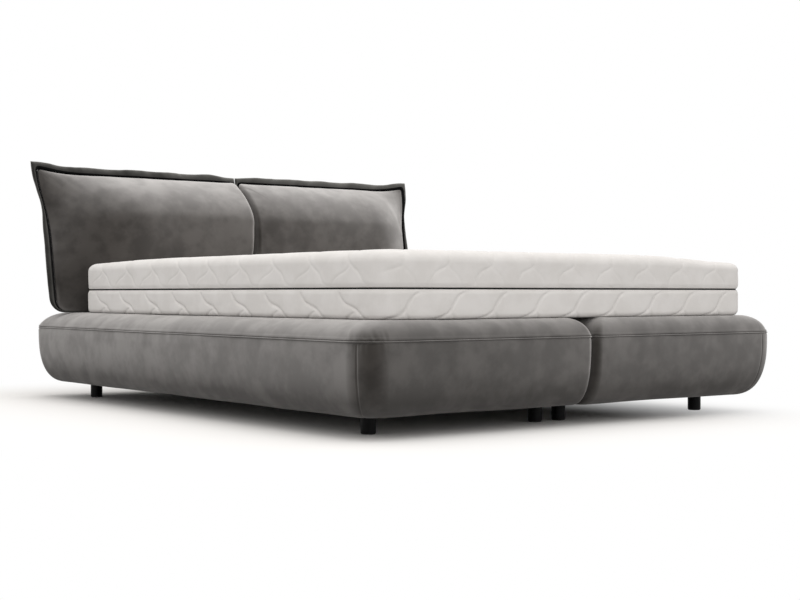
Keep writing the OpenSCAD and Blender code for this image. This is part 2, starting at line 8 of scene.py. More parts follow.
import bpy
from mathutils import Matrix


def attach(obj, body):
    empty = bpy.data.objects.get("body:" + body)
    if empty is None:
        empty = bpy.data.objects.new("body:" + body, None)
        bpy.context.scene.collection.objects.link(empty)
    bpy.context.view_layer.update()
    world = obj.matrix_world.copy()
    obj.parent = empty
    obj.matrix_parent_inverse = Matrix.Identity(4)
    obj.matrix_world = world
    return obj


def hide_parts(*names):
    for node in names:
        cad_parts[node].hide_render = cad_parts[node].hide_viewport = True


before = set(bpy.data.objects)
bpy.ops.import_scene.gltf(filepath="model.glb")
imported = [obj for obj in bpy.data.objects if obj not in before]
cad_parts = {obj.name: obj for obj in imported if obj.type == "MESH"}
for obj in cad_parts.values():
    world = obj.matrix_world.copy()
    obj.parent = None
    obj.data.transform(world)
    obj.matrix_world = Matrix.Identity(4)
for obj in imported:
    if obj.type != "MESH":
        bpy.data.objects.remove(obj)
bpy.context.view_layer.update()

import logging
import math
from dataclasses import dataclass, field
from enum import Enum
from typing import Callable, Dict, List, Optional, Sequence, Tuple

import bmesh
import bpy
import numpy as np
from mathutils import Vector, noise

log = logging.getLogger("bed")

Pair = Tuple[float, float]
Three = Tuple[float, float, float]
Four = Tuple[float, float, float, float]
Pairs = Tuple[Pair, ...]
Colour = Three
Builder = Callable[["Wardrobe"], List[bpy.types.Object]]

SECOND_MATERIAL = 1
WELD_DISTANCE = 0.0012
WHITE = (1.0, 1.0, 1.0)


class Side(Enum):
    """Side of the bed as seen from the foot. The value is the direction along X."""

    LEFT = -1
    RIGHT = 1

    def node(self, name: str) -> str:
        """Name of this side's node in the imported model."""
        return f"{self.name.lower()}_{name}"

    def nodes(self, *names: str) -> List[str]:
        """Names of several of this side's nodes."""
        return [self.node(name) for name in names]

    def seed(self, middle: float, step: float) -> float:
        """Seed of this side's noise, a step below or above the middle one."""
        return middle + step * self.value


# Surfaces: noise, rings of points and the meshes that are made of them


def cloud(points: np.ndarray, size: Sequence[float], seed: float) -> np.ndarray:
    """Smooth noise between about -1 and 1 at each point.

    Args:
        points: array of points, with 3 numbers in the last axis.
        size: size of the clouds along X, Y and Z.
        seed: offset that gives other clouds.

    Returns:
        An array with one value for each point.
    """
    flat = points.reshape(-1, 3) / np.asarray(size, float) + seed
    values = [noise.noise(Vector(p)) for p in flat]
    return np.array(values).reshape(points.shape[:-1])


def wander(places: np.ndarray, seed: float, kind: Four) -> np.ndarray:
    """How far a wavy edge strays from its line.

    Args:
        places: places along the edge.
        seed: offset of the noise.
        kind: its height, its size along the edge, what is added to the seed, and its row.

    Returns:
        An array with one value for each place.
    """
    height, size, shift, row = kind
    return height * np.array([noise.noise(Vector((x / size, seed + shift, row))) for x in places])


def smooth_min(a: np.ndarray, b: np.ndarray, soft: float) -> np.ndarray:
    """The smaller of two arrays, with a soft change from one to the other.

    Args:
        a: first array.
        b: second array.
        soft: width of the change.

    Returns:
        An array that is nowhere above a or b.
    """
    share = np.clip(0.5 + 0.5 * (b - a) / soft, 0, 1)
    return b * (1 - share) + a * share - soft * share * (1 - share)


def smooth_step(x: np.ndarray) -> np.ndarray:
    """Smooth change from 0 to 1 as x goes from 0 to 1."""
    x = np.clip(x, 0, 1)
    return x * x * (3 - 2 * x)


def hump(x: np.ndarray, reach: float, power: float = 2) -> np.ndarray:
    """Bell shape that is 1 where x is 0 and dies away on both sides of it.

    Args:
        x: distances.
        reach: distance over which it dies away.
        power: how flat its top is and how steep its sides are.

    Returns:
        An array with one value for each distance.
    """
    return np.exp(-np.abs(x / reach) ** power)


def falling(x: np.ndarray, reach: float) -> np.ndarray:
    """1 where x is at most 0, dying away above it over the reach."""
    return hump(np.maximum(x, 0), reach, 3)


def line_run(points: np.ndarray) -> np.ndarray:
    """Distance of each point of a line from its first one, along the line."""
    return np.concatenate([[0], np.cumsum(np.linalg.norm(np.diff(points, axis=0), axis=1))])


def at_height(flat: np.ndarray, z: float) -> np.ndarray:
    """Flat points at one height."""
    return np.c_[flat, np.full(len(flat), z)]


def add_object(name: str, data: bpy.types.ID) -> bpy.types.Object:
    """Makes an object and puts it in the scene.

    Args:
        name: name of the object.
        data: its mesh, lamp or camera data.

    Returns:
        The new object.
    """
    made = bpy.data.objects.new(name, data)
    bpy.context.scene.collection.objects.link(made)
    return made


def along_line(s: np.ndarray, away: np.ndarray, share: float) -> np.ndarray:
    """Places for noise that runs along a line.

    Args:
        s: distances along the line.
        away: distances from it.
        share: share of the distances from it that counts.

    Returns:
        An array of points.
    """
    return np.stack([s, away * share, s * 0], axis=-1)


@dataclass(frozen=True)
class Ripple:
    """One kind of unevenness in padded cloth, over a surface or along a line on it."""

    height: float
    size: Three
    shift: float = 0.0
    fade: float = 0.0

    def over(self, places: np.ndarray, seed: float,
             away: Optional[np.ndarray] = None) -> np.ndarray:
        """How far it lifts the cloth.

        Args:
            places: points, with 3 numbers in the last axis.
            seed: offset of the noise, to which the ripple adds its own shift.
            away: distance from a line, if it dies away from that line over its fade.

        Returns:
            An array with one height for each point.
        """
        found = self.height * cloud(places, self.size, seed + self.shift)
        return found if away is None else found * np.exp(-away / self.fade)


def rounded_ring(box: Sequence[float], radii: Sequence[float], counts: Sequence[int],
                 straight: Tuple[int, int]) -> np.ndarray:
    """Points of a rounded rectangle, counter-clockwise from its upper right corner.

    Args:
        box: x0, x1, y0 and y1.
        radii: radii of the corners at x1 y1, x0 y1, x0 y0 and x1 y0.
        counts: steps in each of these corners.
        straight: steps along X and steps along Y.

    Returns:
        An array of points with x and y.
    """
    x0, x1, y0, y1 = box
    centres = [(x1 - radii[0], y1 - radii[0]), (x0 + radii[1], y1 - radii[1]),
               (x0 + radii[2], y0 + radii[2]), (x1 - radii[3], y0 + radii[3])]
    arcs = []
    for k, (cx, cy) in enumerate(centres):
        turn = np.radians(90 * k + 90 * np.arange(counts[k] + 1) / counts[k])
        arcs.append(np.c_[cx + radii[k] * np.cos(turn), cy + radii[k] * np.sin(turn)])
    parts = []
    for k, arc in enumerate(arcs):
        parts.append(arc)
        steps = straight[k % 2]
        share = np.arange(1, steps)[:, None] / steps
        parts.append(arc[-1] * (1 - share) + arcs[(k + 1) % 4][0] * share)
    return np.concatenate(parts)


def corner_slices(counts: Sequence[int], straight: Tuple[int, int]) -> List[slice]:
    """Finds each corner of a rounded_ring in it.

    Args:
        counts: steps in each corner.
        straight: steps along X and steps along Y.

    Returns:
        The place of each corner, in the ring's own order.
    """
    found, at = [], 0
    for k in range(4):
        found.append(slice(at, at + counts[k] + 1))
        at += counts[k] + straight[k % 2]
    return found


@dataclass
class Skin:
    """A surface made of rings of points.

    The rings go round counter-clockwise as seen from where they are heading, so that the
    outside is on the right-hand side of the travel.
    """

    points: np.ndarray
    looped: bool = False

    def around(self) -> np.ndarray:
        """Distance along each ring from its first point."""
        gaps = np.linalg.norm(np.diff(self.points, axis=1), axis=2)
        return np.concatenate([np.zeros((len(gaps), 1)), np.cumsum(gaps, axis=1)], axis=1)

    def across(self) -> np.ndarray:
        """Distance across the rings from the first one."""
        gaps = np.linalg.norm(np.diff(self.points, axis=0), axis=2)
        return np.concatenate([np.zeros((1, gaps.shape[1])), np.cumsum(gaps, axis=0)], axis=0)

    def normals(self) -> np.ndarray:
        """Finds the outward direction at each point.

        Returns:
            An array of unit vectors.
        """
        p = self.points
        along = np.roll(p, -1, axis=1) - np.roll(p, 1, axis=1)
        if self.looped:
            over = np.roll(p, -1, axis=0) - np.roll(p, 1, axis=0)
        else:
            over = np.gradient(p, axis=0)
        n = np.cross(along, over)
        return n / np.maximum(np.linalg.norm(n, axis=2, keepdims=True), 1e-12)

    def raised(self, height: np.ndarray) -> "Skin":
        """This surface with each point moved outwards by a height."""
        return Skin(self.points + self.normals() * height[..., None], self.looped)

    def mirrored(self) -> "Skin":
        """The mirror image in the plane X = 0."""
        flipped = self.points[:, ::-1] * np.array([-1.0, 1.0, 1.0])
        return Skin(np.roll(flipped, 1, axis=1), self.looped)

    def on(self, side: Side) -> "Skin":
        """This surface, which is a left one, on its own side of the bed."""
        return self if side is Side.LEFT else self.mirrored()

    def build(self, name: str, close_first: bool = False, close_last: bool = False,
              weld_last: bool = False, marked: Sequence[int] = ()) -> bpy.types.Object:
        """Makes the mesh object.

        Args:
            name: name of the object.
            close_first: whether the first ring is filled.
            close_last: whether the last ring is filled.
            weld_last: whether the points of the last ring that meet are welded to each other.
            marked: rings whose faces, up to the next ring, get the second material.

        Returns:
            The new object, smooth shaded.
        """
        rings, columns = self.points.shape[:2]
        index = np.arange(rings * columns).reshape(rings, columns)
        after = np.roll(index, -1, axis=1)
        low = index if self.looped else index[:-1]
        high = np.roll(index, -1, axis=0) if self.looped else index[1:]
        low_after = after if self.looped else after[:-1]
        high_after = np.roll(after, -1, axis=0) if self.looped else after[1:]
        faces = np.stack([low, low_after, high_after, high], axis=2).reshape(-1, 4).tolist()
        if close_first:
            faces.append(index[0, ::-1].tolist())
        if close_last:
            faces.append(index[-1].tolist())
        mesh = bpy.data.meshes.new(name)
        mesh.from_pydata(self.points.reshape(-1, 3).tolist(), [], faces)
        for ring in marked:
            for k in range(ring * columns, (ring + 1) * columns):
                mesh.polygons[k].material_index = SECOND_MATERIAL
        if weld_last:
            shape = bmesh.new()
            shape.from_mesh(mesh)
            shape.verts.ensure_lookup_table()
            bmesh.ops.remove_doubles(shape, verts=shape.verts[-columns:], dist=WELD_DISTANCE)
            shape.to_mesh(mesh)
            shape.free()
        mesh.polygons.foreach_set("use_smooth", [True] * len(mesh.polygons))
        mesh.update()
        return add_object(name, mesh)


def tube(path: np.ndarray, radius: float, name: str, sides: int = 10) -> bpy.types.Object:
    """Round tube along a closed path.

    Args:
        path: points of the path, counter-clockwise as seen from above.
        radius: radius of the tube.
        name: name of the object.
        sides: points round the tube.

    Returns:
        The new object.
    """
    along = np.roll(path, -1, axis=0) - np.roll(path, 1, axis=0)
    along /= np.linalg.norm(along, axis=1, keepdims=True)
    out = np.cross(along, np.array([0.0, 0.0, 1.0]))
    out /= np.linalg.norm(out, axis=1, keepdims=True)
    up = np.cross(out, along)
    rings = [path + radius * (math.cos(a) * out + math.sin(a) * up)
             for a in 2 * math.pi * np.arange(sides) / sides]
    return Skin(np.stack(rings), looped=True).build(name)


# Finishes: velvet, ticking and the plain ones, and the effects that they share


class Shading:
    """Small helper that adds nodes to a material, a node group or the world."""

    def __init__(self, tree: bpy.types.NodeTree) -> None:
        """Keeps the tree that the nodes go to."""
        self.tree = tree

    def add(self, kind: str, settings: Optional[Dict[str, object]] = None,
            **inputs: object) -> bpy.types.Node:
        """Adds a node.

        Args:
            kind: Blender's type of the node.
            settings: properties of the node.
            **inputs: values or sockets for its inputs, with _ for a space in their names.

        Returns:
            The node.
        """
        node = self.tree.nodes.new(kind)
        for key, value in (settings or {}).items():
            setattr(node, key, value)
        self.fill(node, **inputs)
        return node

    def fill(self, node: bpy.types.Node, **inputs: object) -> None:
        """Feeds several inputs of a node, with _ for a space in their names."""
        for key, value in inputs.items():
            self.feed(node, key.replace("_", " "), value)

    def feed(self, node: bpy.types.Node, name: object, value: object) -> None:
        """Sets an input of a node, or links a socket to it.

        Args:
            node: the node.
            name: name or number of the input.
            value: number, colour or socket.
        """
        socket = node.inputs[name]
        if isinstance(value, bpy.types.NodeSocket):
            self.tree.links.new(value, socket)
        elif socket.type == "RGBA" and isinstance(value, tuple):
            socket.default_value = (*value, 1.0)
        else:
            socket.default_value = value

    def group(self, tree: bpy.types.NodeTree, **inputs: object) -> bpy.types.Node:
        """Adds a node group with its own values."""
        return self.add("ShaderNodeGroup", {"node_tree": tree}, **inputs)

    def math(self, operation: str, *values: object) -> bpy.types.NodeSocket:
        """Result of a Math node.

        Args:
            operation: Blender's name of the operation.
            *values: numbers or sockets for its inputs.

        Returns:
            The socket of the result.
        """
        node = self.add("ShaderNodeMath", {"operation": operation})
        for k, value in enumerate(values):
            self.feed(node, k, value)
        return node.outputs[0]

    def mix(self, factor: object, a: object, b: object) -> bpy.types.NodeSocket:
        """Colour between two others.

        Args:
            factor: 0 for the first colour and 1 for the second.
            a: first colour.
            b: second colour.

        Returns:
            The socket of the colour.
        """
        node = self.add("ShaderNodeMix", {"data_type": "RGBA"})
        for key, value in ((0, factor), (6, a), (7, b)):
            self.feed(node, key, value)
        return node.outputs[2]

    def level(self, value: object, low: float, high: float, to_low: float = 0.0,
              to_high: float = 1.0) -> bpy.types.NodeSocket:
        """Value taken smoothly from one range to another, and kept within it.

        Args:
            value: the number or socket.
            low: start of its range.
            high: end of its range.
            to_low: result at the start.
            to_high: result at the end.

        Returns:
            The socket of the result.
        """
        node = self.add("ShaderNodeMapRange", {"interpolation_type": "SMOOTHSTEP"}, Value=value,
                        From_Min=low, From_Max=high, To_Min=to_low, To_Max=to_high)
        return node.outputs[0]

    def noise(self, where: object, scale: object, detail: float = 3.0,
              rough: float = 0.5) -> bpy.types.NodeSocket:
        """Value of a Noise Texture.

        Args:
            where: socket of the place.
            scale: how small its clouds are.
            detail: how many finer layers it has.
            rough: how strong the finer layers are.

        Returns:
            The socket of the value.
        """
        return self.add("ShaderNodeTexNoise", Vector=where, Scale=scale, Detail=detail,
                        Roughness=rough).outputs[0]

    def place(self, scale: Three = (1.0, 1.0, 1.0)) -> bpy.types.NodeSocket:
        """Object coordinates, stretched by a scale."""
        where = self.add("ShaderNodeTexCoord").outputs["Object"]
        return self.add("ShaderNodeMapping", Vector=where, Scale=scale).outputs[0]

    def enlarged(self, factor: bpy.types.NodeSocket) -> bpy.types.NodeSocket:
        """Object coordinates times a factor."""
        return self.add("ShaderNodeVectorMath", {"operation": "SCALE"}, Vector=self.place(),
                        Scale=factor).outputs[0]

    def bump(self, height: bpy.types.NodeSocket, strength: float,
             distance: float) -> bpy.types.NodeSocket:
        """Normal of a surface that has a fine height.

        Args:
            height: socket of the height.
            strength: how much of the bump shows.
            distance: height in metres that 1 stands for.

        Returns:
            The socket of the normal.
        """
        return self.add("ShaderNodeBump", Height=height, Strength=strength,
                        Distance=distance).outputs["Normal"]

    def choose(self, factor: bpy.types.NodeSocket, first: bpy.types.Node,
               second: bpy.types.Node) -> bpy.types.NodeSocket:
        """Shader between two others.

        Args:
            factor: 0 for the first shader and 1 for the second.
            first: node of the first shader.
            second: node of the second shader.

        Returns:
            The socket of the shader.
        """
        node = self.add("ShaderNodeMixShader")
        for key, value in ((0, factor), (1, first.outputs[0]), (2, second.outputs[0])):
            self.feed(node, key, value)
        return node.outputs[0]

    def seen(self) -> bpy.types.NodeSocket:
        """Tells the rays that show a surface from those that only light it.

        Returns:
            The socket of 1 for rays that the camera, a reflection or clear matter sends, and
            0 for others.
        """
        path = self.add("ShaderNodeLightPath").outputs
        total = self.math("ADD", path["Is Camera Ray"], path["Is Glossy Ray"])
        return self.math("MINIMUM", self.math("ADD", total, path["Is Transmission Ray"]), 1.0)


def new_group(name: str, inputs: Dict[str, Optional[float]], outputs: Sequence[str]
              ) -> Tuple[bpy.types.NodeTree, Shading, bpy.types.Node, bpy.types.Node]:
    """Makes an empty shader node group.

    Args:
        name: name of the group.
        inputs: name of each input, with its value if it is a number or None for a colour.
        outputs: name of each output. One called Color is a colour, and others are numbers.

    Returns:
        The group, a helper for its nodes, its input node and its output node.
    """
    tree = bpy.data.node_groups.new(name, "ShaderNodeTree")
    for label, value in inputs.items():
        kind = "NodeSocketColor" if value is None else "NodeSocketFloat"
        socket = tree.interface.new_socket(label, in_out="INPUT", socket_type=kind)
        if value is not None:
            socket.default_value = value
    for label in outputs:
        kind = "NodeSocketColor" if label == "Color" else "NodeSocketFloat"
        tree.interface.new_socket(label, in_out="OUTPUT", socket_type=kind)
    helper = Shading(tree)
    return tree, helper, helper.add("NodeGroupInput"), helper.add("NodeGroupOutput")


class Effects:
    """The node groups that several finishes use, each built once."""

    TALL_CLOUDS = (4.0, 4.0, 3.4)
    SMALL_CLOUDS = (15.0, 15.0, 15.0)
    CLOUD_EDGES = (0.39, 0.61)
    # Painted shade where the velvet faces down and painted light where it faces up.
    SHADE_FACING_DOWN = (-0.50, 0.05)
    SHADE_FACING_DOWN_SHARE = 0.35
    LIGHT_FACING_UP = (0.10, 0.45)
    TUFTS = 900.0
    BRUSHED = 120.0
    KNIT_CLOUDS = 14.0
    COATING_CLOUDS = 30.0

    def __init__(self) -> None:
        """Builds the groups."""
        self.nap_clouds_and_light = self._nap_clouds_and_light()
        self.pile = self._pile()
        self.knit = self._knit()
        self.speckle = self._speckle()

    def _nap_clouds_and_light(self) -> bpy.types.NodeTree:
        """Clouds where the nap was brushed one way or the other, and how much it shines.

        Returns:
            The group. Its output Lie is painted shade, below 1 where the velvet faces
            down, and painted light, rising by the input Upward where it faces up.
        """
        tree, s, given, out = new_group(
            "Nap clouds", {"Light": None, "Dark": None, "Strength": 1.0, "Upward": 0.0},
            ("Color", "Mask", "Lie"))
        tall = s.noise(s.place(self.TALL_CLOUDS), 1.0, 3.0, 0.5)
        small = s.noise(s.place(self.SMALL_CLOUDS), 1.0, 3.0, 0.55)
        both = s.math("ADD", s.math("MULTIPLY", tall, 0.5), s.math("MULTIPLY", small, 0.5))
        mask = s.level(both, *self.CLOUD_EDGES)
        off = s.math("MULTIPLY", s.math("SUBTRACT", mask, 0.5), given.outputs["Strength"])
        centred = s.math("ADD", off, 0.5)
        # Painted light and shade: the way the surface faces sets how much painted sheen it gets.
        geometry = s.add("ShaderNodeNewGeometry")
        up = s.add("ShaderNodeSeparateXYZ", Vector=geometry.outputs["Normal"]).outputs["Z"]
        more = s.math("MULTIPLY", s.level(up, *self.LIGHT_FACING_UP), given.outputs["Upward"])
        painted_light = s.math("ADD", s.level(up, *self.SHADE_FACING_DOWN, self.SHADE_FACING_DOWN_SHARE, 1.0), more)
        colour = s.mix(centred, given.outputs["Dark"], given.outputs["Light"])
        s.fill(out, Color=colour, Mask=mask, Lie=painted_light)
        return tree

    def _pile(self) -> bpy.types.NodeTree:
        """Fine height of a short pile, with a trace of the weave below it.

        Returns:
            The group.
        """
        tree, s, given, out = new_group("Pile", {"Fineness": 1.0}, ("Height",))
        where = s.enlarged(given.outputs["Fineness"])
        tufts = s.noise(where, self.TUFTS, 2.0, 0.6)
        brushed = s.noise(where, self.BRUSHED, 3.0, 0.6)
        s.fill(out, Height=s.math("ADD", s.math("MULTIPLY", tufts, 0.6),
                                  s.math("MULTIPLY", brushed, 0.4)))
        return tree

    def _knit(self) -> bpy.types.NodeTree:
        """Fine loops of a knitted ticking, as a height and a mask.

        Returns:
            The group.
        """
        tree, s, given, out = new_group("Knit", {"Pitch": 450.0}, ("Height", "Mask"))
        parts = s.add("ShaderNodeSeparateXYZ", Vector=s.enlarged(given.outputs["Pitch"]))
        waves = [s.math("SINE", s.math("MULTIPLY", part, 2 * math.pi)) for part in parts.outputs]
        loops = s.math("ADD", s.math("ADD", waves[0], waves[1]), waves[2])
        s.fill(out, Height=s.level(loops, -2.0, 2.0),
               Mask=s.noise(s.place(), self.KNIT_CLOUDS, 3.0, 0.55))
        return tree

    def _speckle(self) -> bpy.types.NodeTree:
        """Fine texture of a coating, with a mask for its variation.

        Returns:
            The group.
        """
        tree, s, given, out = new_group("Speckle", {"Scale": 700.0}, ("Height", "Mask"))
        s.fill(out, Height=s.noise(s.place(), given.outputs["Scale"], 2.0),
               Mask=s.noise(s.place(), self.COATING_CLOUDS, 4.0, 0.6))
        return tree


def emptied(block: bpy.types.ID) -> Shading:
    """Takes all nodes out of a material or a world.

    Args:
        block: the material or world.

    Returns:
        A helper for its new nodes.
    """
    block.use_nodes = True
    block.node_tree.nodes.clear()
    return Shading(block.node_tree)


def start_material(name: str) -> Tuple[bpy.types.Material, Shading, bpy.types.Node]:
    """Makes a node material with its shader and output.

    Args:
        name: name of the material.

    Returns:
        The material, a helper for its nodes and its Principled shader.
    """
    made = bpy.data.materials.new(name)
    s = emptied(made)
    shader = s.add("ShaderNodeBsdfPrincipled")
    s.add("ShaderNodeOutputMaterial", Surface=shader.outputs[0])
    return made, s, shader


@dataclass(frozen=True)
class VelvetFinish:
    """Short velvet with brushed clouds, a fine pile and a soft sheen.

    It has one colour where it is seen face on, and a lighter one at a glancing angle, which is
    painted sheen, with painted light where it faces up and painted shade where it faces down.
    """

    name: str
    face_on: Colour = (0.0437, 0.0393, 0.0355)
    glancing: Colour = (0.57, 0.546, 0.528)
    strength: float = 0.66
    sheen: float = 0.12
    # Share of painted light added to the painted sheen where the velvet faces up.
    upward: float = 0.0
    sheen_roughness: float = 0.35
    sheen_tint: Colour = (1.0, 0.975, 0.955)
    face_shares: Pair = (1.38, 0.72)
    painted_sheen_shares: Pair = (1.10, 0.90)
    glance_blend: float = 0.35
    pile_bump: Pair = (0.35, 0.0006)
    roughness: Pair = (0.82, 0.66)
    specular: float = 0.06

    def build(self, effects: Effects) -> bpy.types.Material:
        """Makes the material.

        Args:
            effects: the shared groups.

        Returns:
            The material.
        """
        made, s, shader = start_material(self.name)
        light, dark = (tuple(c * share for c in self.face_on) for share in self.face_shares)
        clouds = s.group(effects.nap_clouds_and_light, Light=light, Dark=dark, Strength=self.strength,
                         Upward=self.upward)
        # Painted sheen: a lighter colour mixed in by the viewing angle, scaled by the painted light
        # and shade of the facing.
        light, dark = (tuple(c * share for c in self.glancing) for share in self.painted_sheen_shares)
        painted_sheen = s.mix(clouds.outputs["Mask"], dark, light)
        glance = s.add("ShaderNodeLayerWeight", Blend=self.glance_blend).outputs["Facing"]
        shine = s.math("MULTIPLY", glance, clouds.outputs["Lie"])
        pile = s.group(effects.pile, Fineness=1.0)
        s.fill(shader, Base_Color=s.mix(shine, clouds.outputs["Color"], painted_sheen),
               Roughness=s.level(clouds.outputs["Mask"], 0.0, 1.0, *self.roughness),
               Normal=s.bump(pile.outputs["Height"], *self.pile_bump),
               Sheen_Weight=self.sheen, Sheen_Roughness=self.sheen_roughness,
               Sheen_Tint=self.sheen_tint, Specular_IOR_Level=self.specular)
        return made


@dataclass(frozen=True)
class TickingFinish:
    """Warm white knitted ticking of the mattress cover."""

    name: str
    light: Colour = (0.775, 0.742, 0.712)
    dark: Colour = (0.730, 0.697, 0.665)
    pitch: float = 420.0
    knit_bump: Pair = (0.3, 0.0005)
    cloud_edges: Pair = (0.35, 0.65)
    roughness: Pair = (0.85, 0.7)
    sheen: float = 0.15
    specular: float = 0.25

    def build(self, effects: Effects) -> bpy.types.Material:
        """Makes the material.

        Args:
            effects: the shared groups.

        Returns:
            The material.
        """
        made, s, shader = start_material(self.name)
        knit = s.group(effects.knit, Pitch=self.pitch)
        mask = s.level(knit.outputs["Mask"], *self.cloud_edges)
        s.fill(shader, Base_Color=s.mix(mask, self.dark, self.light),
               Roughness=s.level(knit.outputs["Height"], 0.0, 1.0, *self.roughness),
               Normal=s.bump(knit.outputs["Height"], *self.knit_bump),
               Sheen_Weight=self.sheen, Specular_IOR_Level=self.specular)
        return made


class Look(Enum):
    """What a plain finish is made of.

    The values are metallic, roughness, scale of its texture and specular level.
    """

    COATING = (0.0, 0.42, 700.0, 0.10)
    ZINC = (1.0, 0.36, 500.0, 0.30)
    PLASTIC = (0.0, 0.5, 900.0, 0.15)
    CLOTH = (0.0, 0.9, 1200.0, 0.15)
    TIMBER = (0.0, 0.62, 60.0, 0.30)


@dataclass(frozen=True)
class PlainFinish:
    """Coating, metal, plastic, cloth or timber with a fine texture."""

    name: str
    light: Colour
    dark: Colour
    look: Look
    fine_bump: Pair = (0.15, 0.0004)
    cloud_edges: Pair = (0.35, 0.65)
    rough_edges: Pair = (0.3, 0.7)
    rough_spread: float = 0.06

    def build(self, effects: Effects) -> bpy.types.Material:
        """Makes the material.

        Args:
            effects: the shared groups.

        Returns:
            The material.
        """
        metallic, rough, scale, specular = self.look.value
        made, s, shader = start_material(self.name)
        fine = s.group(effects.speckle, Scale=scale)
        mask = s.level(fine.outputs["Mask"], *self.cloud_edges)
        s.fill(shader, Base_Color=s.mix(mask, self.dark, self.light),
               Roughness=s.level(fine.outputs["Mask"], *self.rough_edges,
                                 rough - self.rough_spread, rough + self.rough_spread),
               Normal=s.bump(fine.outputs["Height"], *self.fine_bump),
               Metallic=metallic, Specular_IOR_Level=specular)
        return made


class Wardrobe:
    """All finishes of the bed, each built once."""

    def __init__(self, effects: Effects) -> None:
        """Builds the materials.

        Args:
            effects: the shared groups.
        """
        velvets = (
            VelvetFinish("Velvet"),
            # Painted light: the cushions' velvet is painted lighter and gets painted light where it
            # faces up.
            VelvetFinish("Cushion velvet", (0.0485, 0.0437, 0.0400), upward=0.30),
            # Painted shade: the flange's velvet is painted darker, as the cushions shade it.
            VelvetFinish("Flange velvet", (0.0200, 0.0193, 0.0178), (0.43, 0.418, 0.392),
                         strength=0.7, sheen=0.1),
            # Painted shade: near black velvet on the rings in the seams' crevices.
            VelvetFinish("Velvet in the seam", (0.003, 0.003, 0.003), (0.02, 0.02, 0.02),
                         strength=0.5, sheen=0.0))
        self.velvet, self.cushion_velvet, self.flange_velvet, self.seam_shade_velvet = (
            velvet.build(effects) for velvet in velvets)
        self.ticking = TickingFinish("Quilted ticking").build(effects)
        plain = (
            PlainFinish("Leg coating", (0.0035, 0.0035, 0.0038), (0.0022, 0.0022, 0.0024),
                        Look.COATING),
            PlainFinish("Zinc", (0.60, 0.61, 0.63), (0.48, 0.49, 0.51), Look.ZINC),
            PlainFinish("Glide plastic", (0.03, 0.03, 0.03), (0.02, 0.02, 0.02), Look.PLASTIC),
            PlainFinish("Dust cloth", (0.022, 0.022, 0.023), (0.014, 0.014, 0.015), Look.CLOTH),
            PlainFinish("Zip tape", (0.020, 0.019, 0.019), (0.011, 0.011, 0.011), Look.CLOTH),
            PlainFinish("Softwood", (0.62, 0.45, 0.27), (0.50, 0.34, 0.19), Look.TIMBER))
        (self.leg_paint, self.steel, self.plastic, self.dust_cloth, self.zip_cloth,
         self.timber) = (finish.build(effects) for finish in plain)


def dress(piece: bpy.types.Object, material: bpy.types.Material, body: str,
          nodes: Sequence[str] = (),
          second: Optional[bpy.types.Material] = None) -> bpy.types.Object:
    """Gives a piece its material and its body, and hides the CAD nodes that it stands for.

    Args:
        piece: the object.
        material: its material.
        body: CAD body that it moves with.
        nodes: CAD nodes that it stands for.
        second: material of its marked faces, if it has any.

    Returns:
        The same object.
    """
    marks = [polygon.material_index for polygon in piece.data.polygons]
    piece.data.materials.clear()
    piece.data.materials.append(material)
    if second is not None:
        piece.data.materials.append(second)
        piece.data.polygons.foreach_set("material_index", marks)
    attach(piece, body)
    if nodes:
        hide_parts(*nodes)
    return piece


# The two halves of the base


